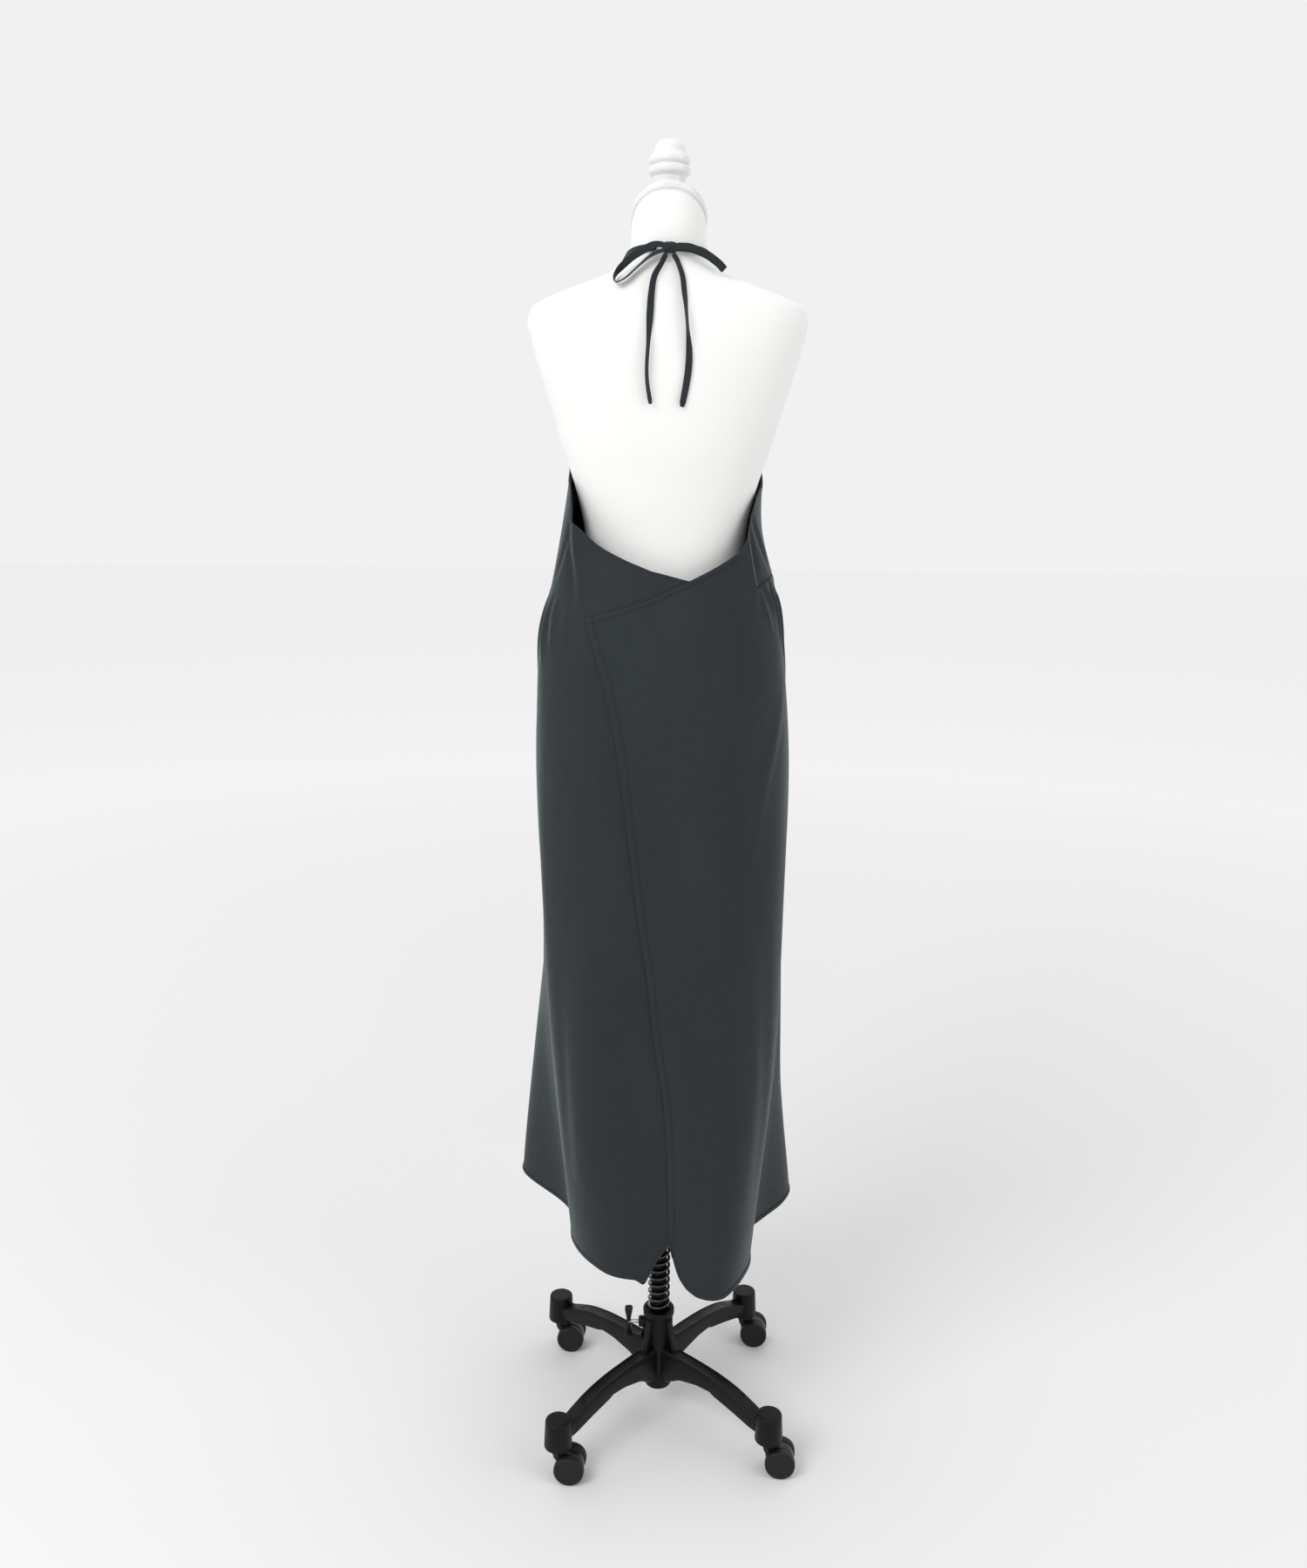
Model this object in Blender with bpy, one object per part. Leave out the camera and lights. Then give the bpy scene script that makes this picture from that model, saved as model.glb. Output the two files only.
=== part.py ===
"""Apron dress with a halter tie and a wrapped back, worn by a dress form on a castor stand.

Metres, +Z up. The origin is on the floor under the pole. The garment's back faces -Y.
Cloth pieces share one drape: a closed loop at each height, read by a share of the way round
(0 at the back, a quarter at the right side, a half at the front).
"""
import math

import bmesh
import bpy
import numpy as np

for old in list(bpy.data.objects):
    bpy.data.objects.remove(old, do_unlink=True)

PARTS = bpy.data.collections.new("apron_dress_on_form")
CUTTERS = bpy.data.collections.new("cutters")
bpy.context.scene.collection.children.link(PARTS)
bpy.context.scene.collection.children.link(CUTTERS)

GAP = 0.0003
WALL = 0.0018
SEAM_SHARE = 0.0003
SIDE_SHARE = 0.0007
CLEAR = 0.0018
LAP_LIFT = 0.0026
LAP_SHARE = 0.045
LAP_RISE = 0.030

FORM_CENTRE_X = -0.003
# a row per section of the dress form: height, half width, depth behind the pole axis, depth in front, slant
FORM_SECTIONS = [
    (0.905, 0.146, 0.096, 0.080, 0.0),
    (0.915, 0.155, 0.104, 0.088, 0.0),
    (0.940, 0.161, 0.111, 0.093, 0.0),
    (1.000, 0.164, 0.117, 0.098, 0.0),
    (1.070, 0.160, 0.116, 0.100, 0.0),
    (1.150, 0.139, 0.100, 0.098, 0.0),
    (1.210, 0.118, 0.082, 0.092, 0.0),
    (1.260, 0.107, 0.073, 0.088, 0.0),
    (1.320, 0.107, 0.073, 0.095, 0.0),
    (1.385, 0.1205, 0.082, 0.112, 0.0),
    (1.435, 0.137, 0.090, 0.124, 0.0),
    (1.480, 0.1505, 0.094, 0.121, 0.0),
    (1.530, 0.166, 0.095, 0.106, 0.0),
    (1.570, 0.177, 0.092, 0.090, 0.0),
    (1.598, 0.1805, 0.084, 0.077, 0.0),
    (1.612, 0.172, 0.079, 0.071, 0.0),
    (1.625, 0.145, 0.074, 0.065, 0.0),
    (1.638, 0.108, 0.069, 0.060, 0.0),
    (1.650, 0.078, 0.064, 0.055, 0.0),
    (1.664, 0.057, 0.059, 0.050, 0.0),
    (1.680, 0.050, 0.056, 0.045, 0.0),
    (1.712, 0.0475, 0.058, 0.036, 1.0),
]
FORM_SQUARE = 2.25

LOOP = ('back', 'back_right', 'side_right', 'valley_right', 'corner_right', 'front_right',
        'front', 'front_left', 'corner_left', 'valley_left', 'side_left', 'back_left')
LOOP_AT = (0.0, 0.085, 0.170, 0.235, 0.335, 0.420, 0.500, 0.580, 0.665, 0.765, 0.830, 0.915)
# a row per section of the dress: height, then each named point's place to the right and to the front
DRESS_SECTIONS = [
    (0.290, (0.000, -0.122), (0.078, -0.145), (0.129, -0.062), (0.134, 0.025), (0.206, 0.140), (0.115, 0.190),
     (0.000, 0.180), (-0.120, 0.195), (-0.220, 0.150), (-0.133, 0.042), (-0.126, -0.035), (-0.075, -0.115)),
    (0.560, (0.000, -0.130), (0.090, -0.130), (0.150, -0.070), (0.157, 0.000), (0.173, 0.085), (0.105, 0.150),
     (0.000, 0.160), (-0.110, 0.152), (-0.187, 0.100), (-0.160, 0.010), (-0.144, -0.064), (-0.088, -0.122)),
    (0.790, (0.000, -0.135), (0.088, -0.128), (0.152, -0.078), (0.166, -0.010), (0.157, 0.075), (0.095, 0.128),
     (0.000, 0.140), (-0.098, 0.130), (-0.160, 0.080), (-0.169, 0.000), (-0.153, -0.078), (-0.090, -0.126)),
    (1.070, (0.000, -0.128), (0.090, -0.116), (0.153, -0.056), (0.167, 0.000), (0.150, 0.072), (0.085, 0.112),
     (0.000, 0.122), (-0.088, 0.113), (-0.156, 0.074), (-0.176, 0.000), (-0.162, -0.060), (-0.096, -0.118)),
    (1.190, (0.000, -0.112), (0.088, -0.100), (0.146, -0.042), (0.154, 0.008), (0.136, 0.068), (0.075, 0.103),
     (0.000, 0.112), (-0.080, 0.104), (-0.150, 0.070), (-0.168, 0.005), (-0.160, -0.048), (-0.100, -0.102)),
    (1.265, (0.000, -0.098), (0.078, -0.088), (0.132, -0.035), (0.141, 0.010), (0.122, 0.062), (0.068, 0.096),
     (0.000, 0.106), (-0.070, 0.097), (-0.130, 0.064), (-0.152, 0.008), (-0.143, -0.042), (-0.088, -0.092)),
    (1.335, (0.000, -0.090), (0.070, -0.082), (0.112, -0.040), (0.124, 0.005), (0.115, 0.065), (0.070, 0.106),
     (0.000, 0.118), (-0.072, 0.106), (-0.122, 0.066), (-0.139, 0.003), (-0.130, -0.050), (-0.088, -0.085)),
    (1.400, (0.000, -0.088), (0.066, -0.078), (0.108, -0.038), (0.1235, 0.012), (0.115, 0.075), (0.072, 0.117),
     (0.000, 0.130), (-0.072, 0.117), (-0.118, 0.075), (-0.130, 0.012), (-0.120, -0.040), (-0.080, -0.080)),
    (1.600, (0.000, -0.060), (0.060, -0.055), (0.100, -0.030), (0.130, 0.005), (0.110, 0.045), (0.060, 0.068),
     (0.000, 0.078), (-0.060, 0.068), (-0.110, 0.045), (-0.130, 0.005), (-0.100, -0.030), (-0.060, -0.055)),
]
def smooth(knots, values, at):
    """Cubic through the values at the knots, slope at a knot from its neighbours."""
    knots = np.asarray(knots, float)
    values = np.asarray(values, float)
    slopes = np.gradient(values, knots, axis=0)
    i = np.clip(np.searchsorted(knots, at) - 1, 0, len(knots) - 2)
    step = knots[i + 1] - knots[i]
    t = np.clip((at - knots[i]) / step, 0.0, 1.0)
    shape = t.shape + (1,) * (values.ndim - 1)
    t, step = t.reshape(shape), step.reshape(shape)
    return ((2 * t**3 - 3 * t**2 + 1) * values[i] + (t**3 - 2 * t**2 + t) * step * slopes[i]
            + (3 * t**2 - 2 * t**3) * values[i + 1] + (t**3 - t**2) * step * slopes[i + 1])

def form_size(z):
    rows = np.array(FORM_SECTIONS)
    return smooth(rows[:, 0], rows[:, 1:], z)

def form_reach(x, y, z):
    """How far out a point is, as a share of the form's outline at that height."""
    size = form_size(z)
    wide = np.abs(x - FORM_CENTRE_X) / size[..., 0]
    deep = np.abs(y) / np.where(y < 0, size[..., 1], size[..., 2])
    return (wide**FORM_SQUARE + deep**FORM_SQUARE) ** (1 / FORM_SQUARE)

def dress(s, z):
    """Plan points of the dress at loop share s and height z, kept clear of the form."""
    s, z = np.broadcast_arrays(np.asarray(s, float), np.asarray(z, float))
    shape = s.shape
    s, z = s.ravel() % 1.0, z.ravel()
    heights = [row[0] for row in DRESS_SECTIONS]
    loops = np.array([row[1:] for row in DRESS_SECTIONS])
    here = smooth(heights, loops, z)
    knots = np.concatenate([np.array(LOOP_AT[-3:]) - 1, LOOP_AT, np.array(LOOP_AT[:3]) + 1])
    here = np.concatenate([here[:, -3:], here, here[:, :3]], axis=1)
    slopes = np.gradient(here, knots, axis=1)
    i = np.searchsorted(knots, s, side='right') - 1
    k = np.arange(len(s))
    step = (knots[i + 1] - knots[i])[:, None]
    t = ((s - knots[i])[:, None]) / step
    plan = ((2 * t**3 - 3 * t**2 + 1) * here[k, i] + (t**3 - 2 * t**2 + t) * step * slopes[k, i]
            + (3 * t**2 - 2 * t**3) * here[k, i + 1] + (t**3 - t**2) * step * slopes[k, i + 1])
    x, y = plan[:, 0], plan[:, 1]
    low = z > FORM_SECTIONS[0][0] - 0.03
    zz = np.clip(z, FORM_SECTIONS[0][0], 1.66)
    reach = form_reach(x, y, zz)
    size = np.hypot(x - FORM_CENTRE_X, y)
    need = 1 + CLEAR / np.maximum(size, 0.03)
    push = np.where(low, np.maximum(1.0, need / np.maximum(reach, 1e-6)), 1.0)
    x = FORM_CENTRE_X + (x - FORM_CENTRE_X) * push
    y = y * push
    return np.stack([x, y], -1).reshape(shape + (2,))

# Edges of the pieces as the share round the dress and the height there.
TOP_LEFT = [(-0.235, 1.4345), (-0.180, 1.400), (-0.168, 1.371), (-0.150, 1.340), (-0.118, 1.329), (-0.077, 1.306),
            (-0.048, 1.291), (-0.021, 1.279), (0.027, 1.267), (0.060, 1.262)]
TOP_FRONT = [(0.230, 1.405), (0.262, 1.415), (0.300, 1.437), (0.345, 1.482), (0.385, 1.545), (0.420, 1.600),
             (0.500, 1.590), (0.580, 1.600), (0.615, 1.550), (0.655, 1.498), (0.700, 1.462), (0.735, 1.446),
             (0.765, 1.4345)]
TOP_RIGHT = [(-0.092, 1.218), (-0.075, 1.223), (-0.057, 1.229), (-0.019, 1.244), (0.004, 1.256), (0.027, 1.2665),
             (0.076, 1.289), (0.116, 1.307), (0.134, 1.325), (0.161, 1.353), (0.184, 1.381), (0.206, 1.397),
             (0.240, 1.408)]
WAIST_LEFT = [(-0.235, 1.262), (-0.214, 1.260), (-0.160, 1.247), (-0.125, 1.232), (-0.102, 1.219), (-0.050, 1.206),
              (0.060, 1.200)]
WAIST_FRONT = [(0.230, 1.268), (0.300, 1.264), (0.500, 1.258), (0.700, 1.262), (0.770, 1.262)]
HEM_LEFT = [(-0.250, 0.302), (-0.148, 0.297), (-0.108, 0.298), (-0.076, 0.295), (-0.053, 0.292), (-0.037, 0.290),
            (-0.025, 0.281), (-0.021, 0.286), (-0.013, 0.305), (-0.004, 0.321), (0.008, 0.339), (0.020, 0.356),
            (0.060, 0.385)]
HEM_RIGHT = [(0.012, 0.360), (0.015, 0.347), (0.020, 0.329), (0.029, 0.303), (0.041, 0.288), (0.055, 0.280),
             (0.074, 0.277), (0.097, 0.275), (0.117, 0.278), (0.143, 0.280), (0.176, 0.278), (0.240, 0.280)]
HEM_FRONT = [(0.230, 0.281), (0.262, 0.277), (0.295, 0.280), (0.335, 0.292), (0.420, 0.297), (0.500, 0.305),
             (0.580, 0.315), (0.665, 0.322), (0.760, 0.302)]
# The wrap's free edge: height, then the share round the dress.
WRAP_EDGE = [(0.270, 0.0125), (0.390, 0.0125), (0.497, 0.008), (0.571, 0.002), (0.661, -0.012), (0.737, -0.019),
             (0.816, -0.030), (0.919, -0.041), (1.044, -0.053), (1.139, -0.066), (1.183, -0.077), (1.218, -0.092)]
# a row per gather or fold: share round, height of its top, reach down, half width as a share, rise in metres
FOLDS = [
    (0.275, 1.255, 0.100, 0.0110, 0.0035), (0.318, 1.255, 0.130, 0.0120, 0.0042), (0.366, 1.255, 0.090, 0.0100, 0.0030),
    (0.407, 1.255, 0.150, 0.0130, 0.0045), (0.455, 1.255, 0.110, 0.0110, 0.0034), (0.498, 1.255, 0.160, 0.0120, 0.0040),
    (0.545, 1.255, 0.100, 0.0120, 0.0036), (0.590, 1.255, 0.140, 0.0110, 0.0045), (0.634, 1.255, 0.090, 0.0120, 0.0032),
    (0.680, 1.255, 0.150, 0.0120, 0.0044), (0.724, 1.255, 0.110, 0.0100, 0.0034), (0.205, 1.250, 0.070, 0.0120, 0.0022),
    (-0.170, 1.235, 0.080, 0.0130, 0.0020), (-0.215, 1.240, 0.090, 0.0120, 0.0024),
]


def edge(rows, at):
    """Height of a piece's edge at each share round the dress, or the share at each height."""
    rows = np.array(rows)
    return np.interp(at, rows[:, 0], rows[:, 1])


def fold_rise(s, z):
    """Sum of the gathers: a bell across each one, gone at the seam and again below its reach."""
    rise = np.zeros_like(s)
    for share, top, reach, width, height in FOLDS:
        across = (s - share + 0.5) % 1.0 - 0.5
        below = np.clip((top - z) / reach, 0.0, 1.0)
        rise = rise + height * np.exp(-(across / width) ** 2) * np.sin(math.pi * below ** 0.6)
    return rise


def drape(s, z, lift):
    """Points of the cloth, moved out along the loop's level normal."""
    step = 0.002
    plan = dress(s, z)
    along = dress(s + step, z) - dress(s - step, z)
    along = along / np.linalg.norm(along, axis=-1, keepdims=True)
    out = (lift + fold_rise(s, z))[..., None] * np.stack([along[..., 1], -along[..., 0]], -1)
    return np.concatenate([plan + out, z[..., None]], -1)


def material(name, colour, rough, metal=0.0):
    made = bpy.data.materials.new(name)
    made.use_nodes = True
    shader = made.node_tree.nodes["Principled BSDF"]
    shader.inputs["Base Color"].default_value = (*colour, 1.0)
    shader.inputs["Roughness"].default_value = rough
    shader.inputs["Metallic"].default_value = metal
    return made


CLOTH = (0.037, 0.046, 0.048)
WHITE = (0.80, 0.80, 0.78)
BLACK = (0.012, 0.012, 0.013)
STEEL = (0.62, 0.62, 0.64)


def solid(name, points, faces, colour, rough, metal=0.0, home=PARTS):
    """One closed body with its faces turned outward and a material of its own."""
    mesh = bpy.data.meshes.new(name)
    mesh.from_pydata([tuple(p) for p in points], [], [tuple(f) for f in faces])
    work = bmesh.new()
    work.from_mesh(mesh)
    bmesh.ops.recalc_face_normals(work, faces=work.faces)
    work.to_mesh(mesh)
    work.free()
    made = bpy.data.objects.new(name, mesh)
    home.objects.link(made)
    made.data.materials.append(material(name + "_mat", colour, rough, metal))
    return made


def cloth(name, s, z, lift):
    """A wall one cloth thick: an inner grid, an outer grid and the four edges between them."""
    inner = drape(s, z, lift)
    outer = drape(s, z, lift + WALL)
    rows, cols = s.shape
    at = np.arange(rows * cols).reshape(rows, cols)
    count = rows * cols
    a, b, c, d = at[:-1, :-1], at[:-1, 1:], at[1:, 1:], at[1:, :-1]
    faces = [q for q in np.stack([a, b, c, d], -1).reshape(-1, 4) + count]
    faces += [q for q in np.stack([a, d, c, b], -1).reshape(-1, 4)]
    rim = np.concatenate([at[0, :-1], at[:-1, -1], at[-1, :0:-1], at[:0:-1, 0]])
    ahead = np.roll(rim, -1)
    faces += [q for q in np.stack([rim, ahead, ahead + count, rim + count], -1)]
    points = np.concatenate([inner.reshape(-1, 3), outer.reshape(-1, 3)])
    return solid(name, points, faces, CLOTH, 0.85)


def column_grid(shares, low, high, rows):
    """A column at each share, from the lower edge to the upper one."""
    v = np.linspace(0.0, 1.0, rows)[:, None]
    z = low[None, :] + v * (high - low)[None, :]
    return np.broadcast_to(shares[None, :], z.shape), z


def even(first, last, count):
    return np.linspace(first, last, count)


def rings(name, loops, colour, rough, metal=0.0, home=PARTS):
    """A closed body through rings of points, flat at both ends."""
    loops = np.asarray(loops)
    rows, cols = loops.shape[:2]
    at = np.arange(rows * cols).reshape(rows, cols)
    nxt = np.roll(at, -1, axis=1)
    faces = list(np.stack([at[:-1], nxt[:-1], nxt[1:], at[1:]], -1).reshape(-1, 4))
    faces += [at[0, ::-1], at[-1]]
    return solid(name, loops.reshape(-1, 3), faces, colour, rough, metal, home)


def turned(name, profile, centre, colour, rough, metal=0.0, sides=32, home=PARTS):
    """A turned piece: rows of radius, height and how far that ring leans with the neck."""
    turn = np.linspace(0.0, 2 * math.pi, sides, endpoint=False)
    loops = []
    for radius, height, lean in profile:
        x = centre[0] + radius * np.cos(turn)
        y = centre[1] + radius * np.sin(turn)
        loops.append(np.stack([x, y, height + lean * NECK_SLOPE * (NECK_CENTRE_Y - y)], -1))
    return rings(name, loops, colour, rough, metal, home)


def cutter(name, radius, start, end, sides=24):
    """A round cutter between two points."""
    start, end = np.array(start, float), np.array(end, float)
    axis = (end - start) / np.linalg.norm(end - start)
    side = np.cross(axis, (0.0, 1.0, 0.0) if abs(axis[1]) < 0.9 else (1.0, 0.0, 0.0))
    side = side / np.linalg.norm(side)
    other = np.cross(axis, side)
    turn = np.linspace(0.0, 2 * math.pi, sides, endpoint=False)[:, None]
    circle = radius * (np.cos(turn) * side + np.sin(turn) * other)
    made = rings(name, [start + circle, end + circle], BLACK, 0.5, 0.0, CUTTERS)
    made.hide_render = True
    made.display_type = "WIRE"
    return made


def boolean(target, tool, how):
    step = target.modifiers.new(how.lower(), "BOOLEAN")
    step.operation = how
    step.solver = "EXACT"
    step.object = tool


def ribbon(name, path, across, width, thick, colour=CLOTH):
    """A flat strip along a path: across is its width's direction at each station."""
    path, across = np.asarray(path, float), np.asarray(across, float)
    along = np.gradient(path, axis=0)
    along = along / np.linalg.norm(along, axis=1, keepdims=True)
    across = across - (across * along).sum(1, keepdims=True) * along
    across = across / np.linalg.norm(across, axis=1, keepdims=True)
    face = np.cross(along, across)
    half = np.broadcast_to(np.asarray(width, float) / 2, (len(path),))[:, None]
    loops = np.stack([path + across * half + face * thick / 2, path - across * half + face * thick / 2,
                      path - across * half - face * thick / 2, path + across * half - face * thick / 2], axis=1)
    return rings(name, loops, colour, 0.85)


# %% The dress form: neck, torso without limbs, slanting neck top
NECK_CENTRE_Y = -0.011
NECK_SLOPE = math.tan(math.radians(33.0))
FORM_SIDES = 38
turn = np.linspace(0.0, 2 * math.pi, FORM_SIDES, endpoint=False)
form_loops = []
for height, half_width, behind, front, lean in FORM_SECTIONS:
    dx, dy = np.cos(turn), np.sin(turn)
    deep = np.where(dy < 0, behind, front)
    reach = ((np.abs(dx) / half_width) ** FORM_SQUARE + (np.abs(dy) / deep) ** FORM_SQUARE) ** (-1 / FORM_SQUARE)
    x, y = FORM_CENTRE_X + dx * reach, dy * reach
    form_loops.append(np.stack([x, y, height + lean * NECK_SLOPE * (NECK_CENTRE_Y - y)], -1))
torso = rings("torso", form_loops, WHITE, 0.8)
neck_top = FORM_SECTIONS[-1][0]
CAP_RADIUS = 0.0485
CAP_TALL = 0.011
cap_z = neck_top + GAP * 2
turned("neck_cap", [(0.0455, cap_z, 1.0), (CAP_RADIUS, cap_z + 0.002, 1.0), (CAP_RADIUS, cap_z + 0.008, 1.0),
                    (0.0455, cap_z + CAP_TALL, 1.0), (0.030, cap_z + CAP_TALL + 0.002, 1.0)],
       (FORM_CENTRE_X, NECK_CENTRE_Y), WHITE, 0.35, sides=26)
knob_z = cap_z + CAP_TALL + 0.002 + GAP * 2
turned("finial", [(0.0200, knob_z, 1.0), (0.0205, 1.7570, 0.0), (0.0210, 1.7650, 0.0), (0.0262, 1.7685, 0.0),
                  (0.0272, 1.7730, 0.0), (0.0262, 1.7765, 0.0), (0.0228, 1.7790, 0.0), (0.0258, 1.7812, 0.0),
                  (0.0266, 1.7845, 0.0), (0.0240, 1.7905, 0.0), (0.0200, 1.7955, 0.0), (0.0190, 1.8010, 0.0),
                  (0.0150, 1.8065, 0.0), (0.0080, 1.8095, 0.0)],
       (FORM_CENTRE_X, NECK_CENTRE_Y), WHITE, 0.3, sides=20)

# %% The dress: seven shaped pieces in the order they are sewn
LEFT_START = -0.240 + SIDE_SHARE
LEFT_END = -0.092 + LAP_SHARE
seam_s = even(LEFT_START, LEFT_END, 18)
band_s = np.concatenate([[-0.235 + SEAM_SHARE], seam_s[1:], even(-0.033, 0.045, 6)])
s, z = column_grid(band_s, edge(WAIST_LEFT, band_s) + GAP, edge(TOP_LEFT, band_s), 9)
cloth("back_bodice_left", s, z, np.zeros_like(s))

front_s = even(0.235 + SIDE_SHARE, 0.760 - SIDE_SHARE, 54)
bib_s = np.concatenate([[0.235 + SEAM_SHARE], front_s[1:-1], [0.765 - SEAM_SHARE]])
s, z = column_grid(bib_s, edge(WAIST_FRONT, bib_s) + GAP, edge(TOP_FRONT, bib_s), 8)
cloth("bib_front", s, z, np.zeros_like(s))

s, z = column_grid(front_s, edge(HEM_FRONT, front_s), edge(WAIST_FRONT, front_s) - GAP, 10)
low, high = z[0], z[-1]
share_down = np.array([0.0, 0.16, 0.33, 0.50, 0.65, 0.77, 0.86, 0.92, 0.96, 1.0])[:, None]
z = low + share_down * (high - low)
cloth("skirt_front", s, z, np.zeros_like(s))

left_u = even(0.0, 1.0, 18)[None, :]
low = edge(HEM_LEFT, LEFT_START + left_u * (0.0125 + LAP_SHARE - LEFT_START))
high = edge(WAIST_LEFT, LEFT_START + left_u * (LEFT_END - LEFT_START)) - GAP
rows_v = np.concatenate([even(0.0, 0.10, 4), even(0.18, 0.90, 10), even(0.94, 1.0, 3)])[:, None]
z = low + rows_v * (high - low)
s = LEFT_START + left_u * (edge(WRAP_EDGE, z + LAP_RISE) + LAP_SHARE - LEFT_START)
cloth("skirt_back_left", s, z, np.zeros_like(s))

right_u = np.concatenate([even(0.0, 0.16, 6), even(0.22, 1.0, 20)])[None, :]
RIGHT_END = 0.235 - SIDE_SHARE
low = edge(HEM_RIGHT, 0.0125 + right_u * (RIGHT_END - 0.0125))
high = edge(TOP_RIGHT, -0.092 + right_u * (RIGHT_END + 0.092))
rows_v = np.concatenate([even(0.0, 0.10, 4), even(0.17, 0.86, 10), even(0.90, 1.0, 5)])[:, None]
z = low + rows_v * (high - low)
first = edge(WRAP_EDGE, z)
s = first + right_u * (RIGHT_END - first)
beyond = np.clip((s - 0.100) / 0.100, 0.0, 1.0)
cloth("back_panel_right", s, z, LAP_LIFT * (1 - beyond * beyond * (3 - 2 * beyond)))


# %% The halter tie: straps round the neck, a knot, two loops and two tails
STRAP_WIDE = 0.009
STRAP_THICK = 0.0018
SIDE = ("right", "left")


def on_form(turn_deg, height, out):
    """A point of the form's surface at an angle from the back, and the surface's outward direction."""
    turn_rad = np.radians(turn_deg)
    dx, dy = np.sin(turn_rad), -np.cos(turn_rad)

    def point(z_here):
        reach = form_reach(FORM_CENTRE_X + dx, dy, z_here)
        return np.stack([FORM_CENTRE_X + dx / reach, dy / reach, z_here], -1)

    here = point(height)
    up = point(height + 0.002) - point(height - 0.002)
    around = np.stack([-dy, dx, np.zeros_like(dx)], -1)
    outward = np.cross(around, up)
    outward = outward / np.linalg.norm(outward, axis=1, keepdims=True)
    return here + outward * out, outward


# a row per station: angle from the back, height
STRAP_RUN = np.array([(15.0, 1.6735), (32.0, 1.6735), (50.0, 1.6725), (68.0, 1.6705), (85.0, 1.6675), (100.0, 1.6630),
                      (112.0, 1.6570), (121.0, 1.6490), (128.0, 1.6390), (133.0, 1.6270), (136.0, 1.6150),
                      (138.0, 1.6060)])
STRAP_CLEAR = 0.0020
stations = np.linspace(0, len(STRAP_RUN) - 1, 25)
STRAP_RUN = np.stack([np.interp(stations, np.arange(len(STRAP_RUN)), column) for column in STRAP_RUN.T], -1)
for mirror, side in zip((1.0, -1.0), SIDE):
    out = np.full((len(STRAP_RUN), 1), STRAP_THICK / 2 + STRAP_CLEAR)
    for _ in range(10):
        path, outward = on_form(STRAP_RUN[:, 0] * mirror, STRAP_RUN[:, 1], out)
        across = np.cross(np.gradient(path, axis=0), outward)
        across = across / np.linalg.norm(across, axis=1, keepdims=True)
        short = np.zeros(len(path))
        for edge_side in (-0.5, 0.0, 0.5):
            under = path + across * STRAP_WIDE * edge_side - outward * STRAP_THICK / 2
            radius = np.hypot(under[:, 0] - FORM_CENTRE_X, under[:, 1])
            inside = radius * (1 - form_reach(under[:, 0], under[:, 1], under[:, 2]))
            short = np.maximum(short, inside + STRAP_CLEAR)
        out = out + 0.6 * short[:, None]
    ribbon("neck_strap_" + side, path, across, STRAP_WIDE, STRAP_THICK)

knot_loops = []
for y, half_x, half_z in ((-0.0583, 0.0060, 0.0045), (-0.0600, 0.0094, 0.0068), (-0.0665, 0.0094, 0.0068),
                          (-0.0690, 0.0085, 0.0062), (-0.0705, 0.0055, 0.0040)):
    turn = np.linspace(0.0, 2 * math.pi, 12, endpoint=False)
    bulge = (np.abs(np.cos(turn)) ** 3 + np.abs(np.sin(turn)) ** 3) ** (-1 / 3)
    knot_loops.append(np.stack([-0.002 + half_x * bulge * np.cos(turn), np.full_like(turn, y),
                                1.6730 + half_z * bulge * np.sin(turn)], -1))
rings("bow_knot", knot_loops, CLOTH, 0.85)

# a row per station: right, height, back, turn of the width toward the back in degrees, width
LOOP_LEFT = np.array([
    (-0.0120, 1.6765, -0.0665, 0, 0.0065), (-0.0210, 1.6760, -0.0665, 0, 0.0080), (-0.0340, 1.6700, -0.0660, 5, 0.009),
    (-0.0490, 1.6610, -0.0655, 10, 0.009), (-0.0610, 1.6505, -0.0650, 30, 0.009), (-0.0690, 1.6415, -0.0645, 65, 0.009),
    (-0.0705, 1.6345, -0.0642, 85, 0.009), (-0.0665, 1.6310, -0.0642, 80, 0.009), (-0.0560, 1.6365, -0.0646, 72, 0.009),
    (-0.0420, 1.6495, -0.0655, 70, 0.009), (-0.0300, 1.6600, -0.0665, 60, 0.008), (-0.0190, 1.6665, -0.0665, 35, 0.006),
    (-0.0120, 1.6680, -0.0665, 10, 0.005)])
LOOP_RIGHT = np.array([
    (0.0080, 1.6740, -0.0680, 0, 0.008), (0.0200, 1.6735, -0.0675, 0, 0.009), (0.0310, 1.6705, -0.0665, 0, 0.009),
    (0.0450, 1.6650, -0.0645, 0, 0.009), (0.0580, 1.6565, -0.0620, 0, 0.009), (0.0645, 1.6505, -0.0605, 0, 0.009),
    (0.0660, 1.6490, -0.0591, 0, 0.009), (0.0645, 1.6500, -0.0577, 0, 0.009), (0.0580, 1.6560, -0.0588, 0, 0.009),
    (0.0450, 1.6645, -0.0611, 0, 0.009), (0.0310, 1.6700, -0.0630, 0, 0.009), (0.0200, 1.6725, -0.0640, 0, 0.009),
    (0.0080, 1.6725, -0.0645, 0, 0.008)])
TAIL_LEFT = np.array([
    (-0.0065, 1.6656, 0, 0.006), (-0.0115, 1.6550, 45, 0.008), (-0.0205, 1.6380, 40, 0.009), (-0.0240, 1.6180, 30, 0.009),
    (-0.0255, 1.5960, 15, 0.009), (-0.0265, 1.5760, 40, 0.009), (-0.0275, 1.5560, 60, 0.009), (-0.0290, 1.5280, 62, 0.009),
    (-0.0280, 1.5080, 60, 0.009), (-0.0240, 1.4840, 55, 0.009)])
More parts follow.
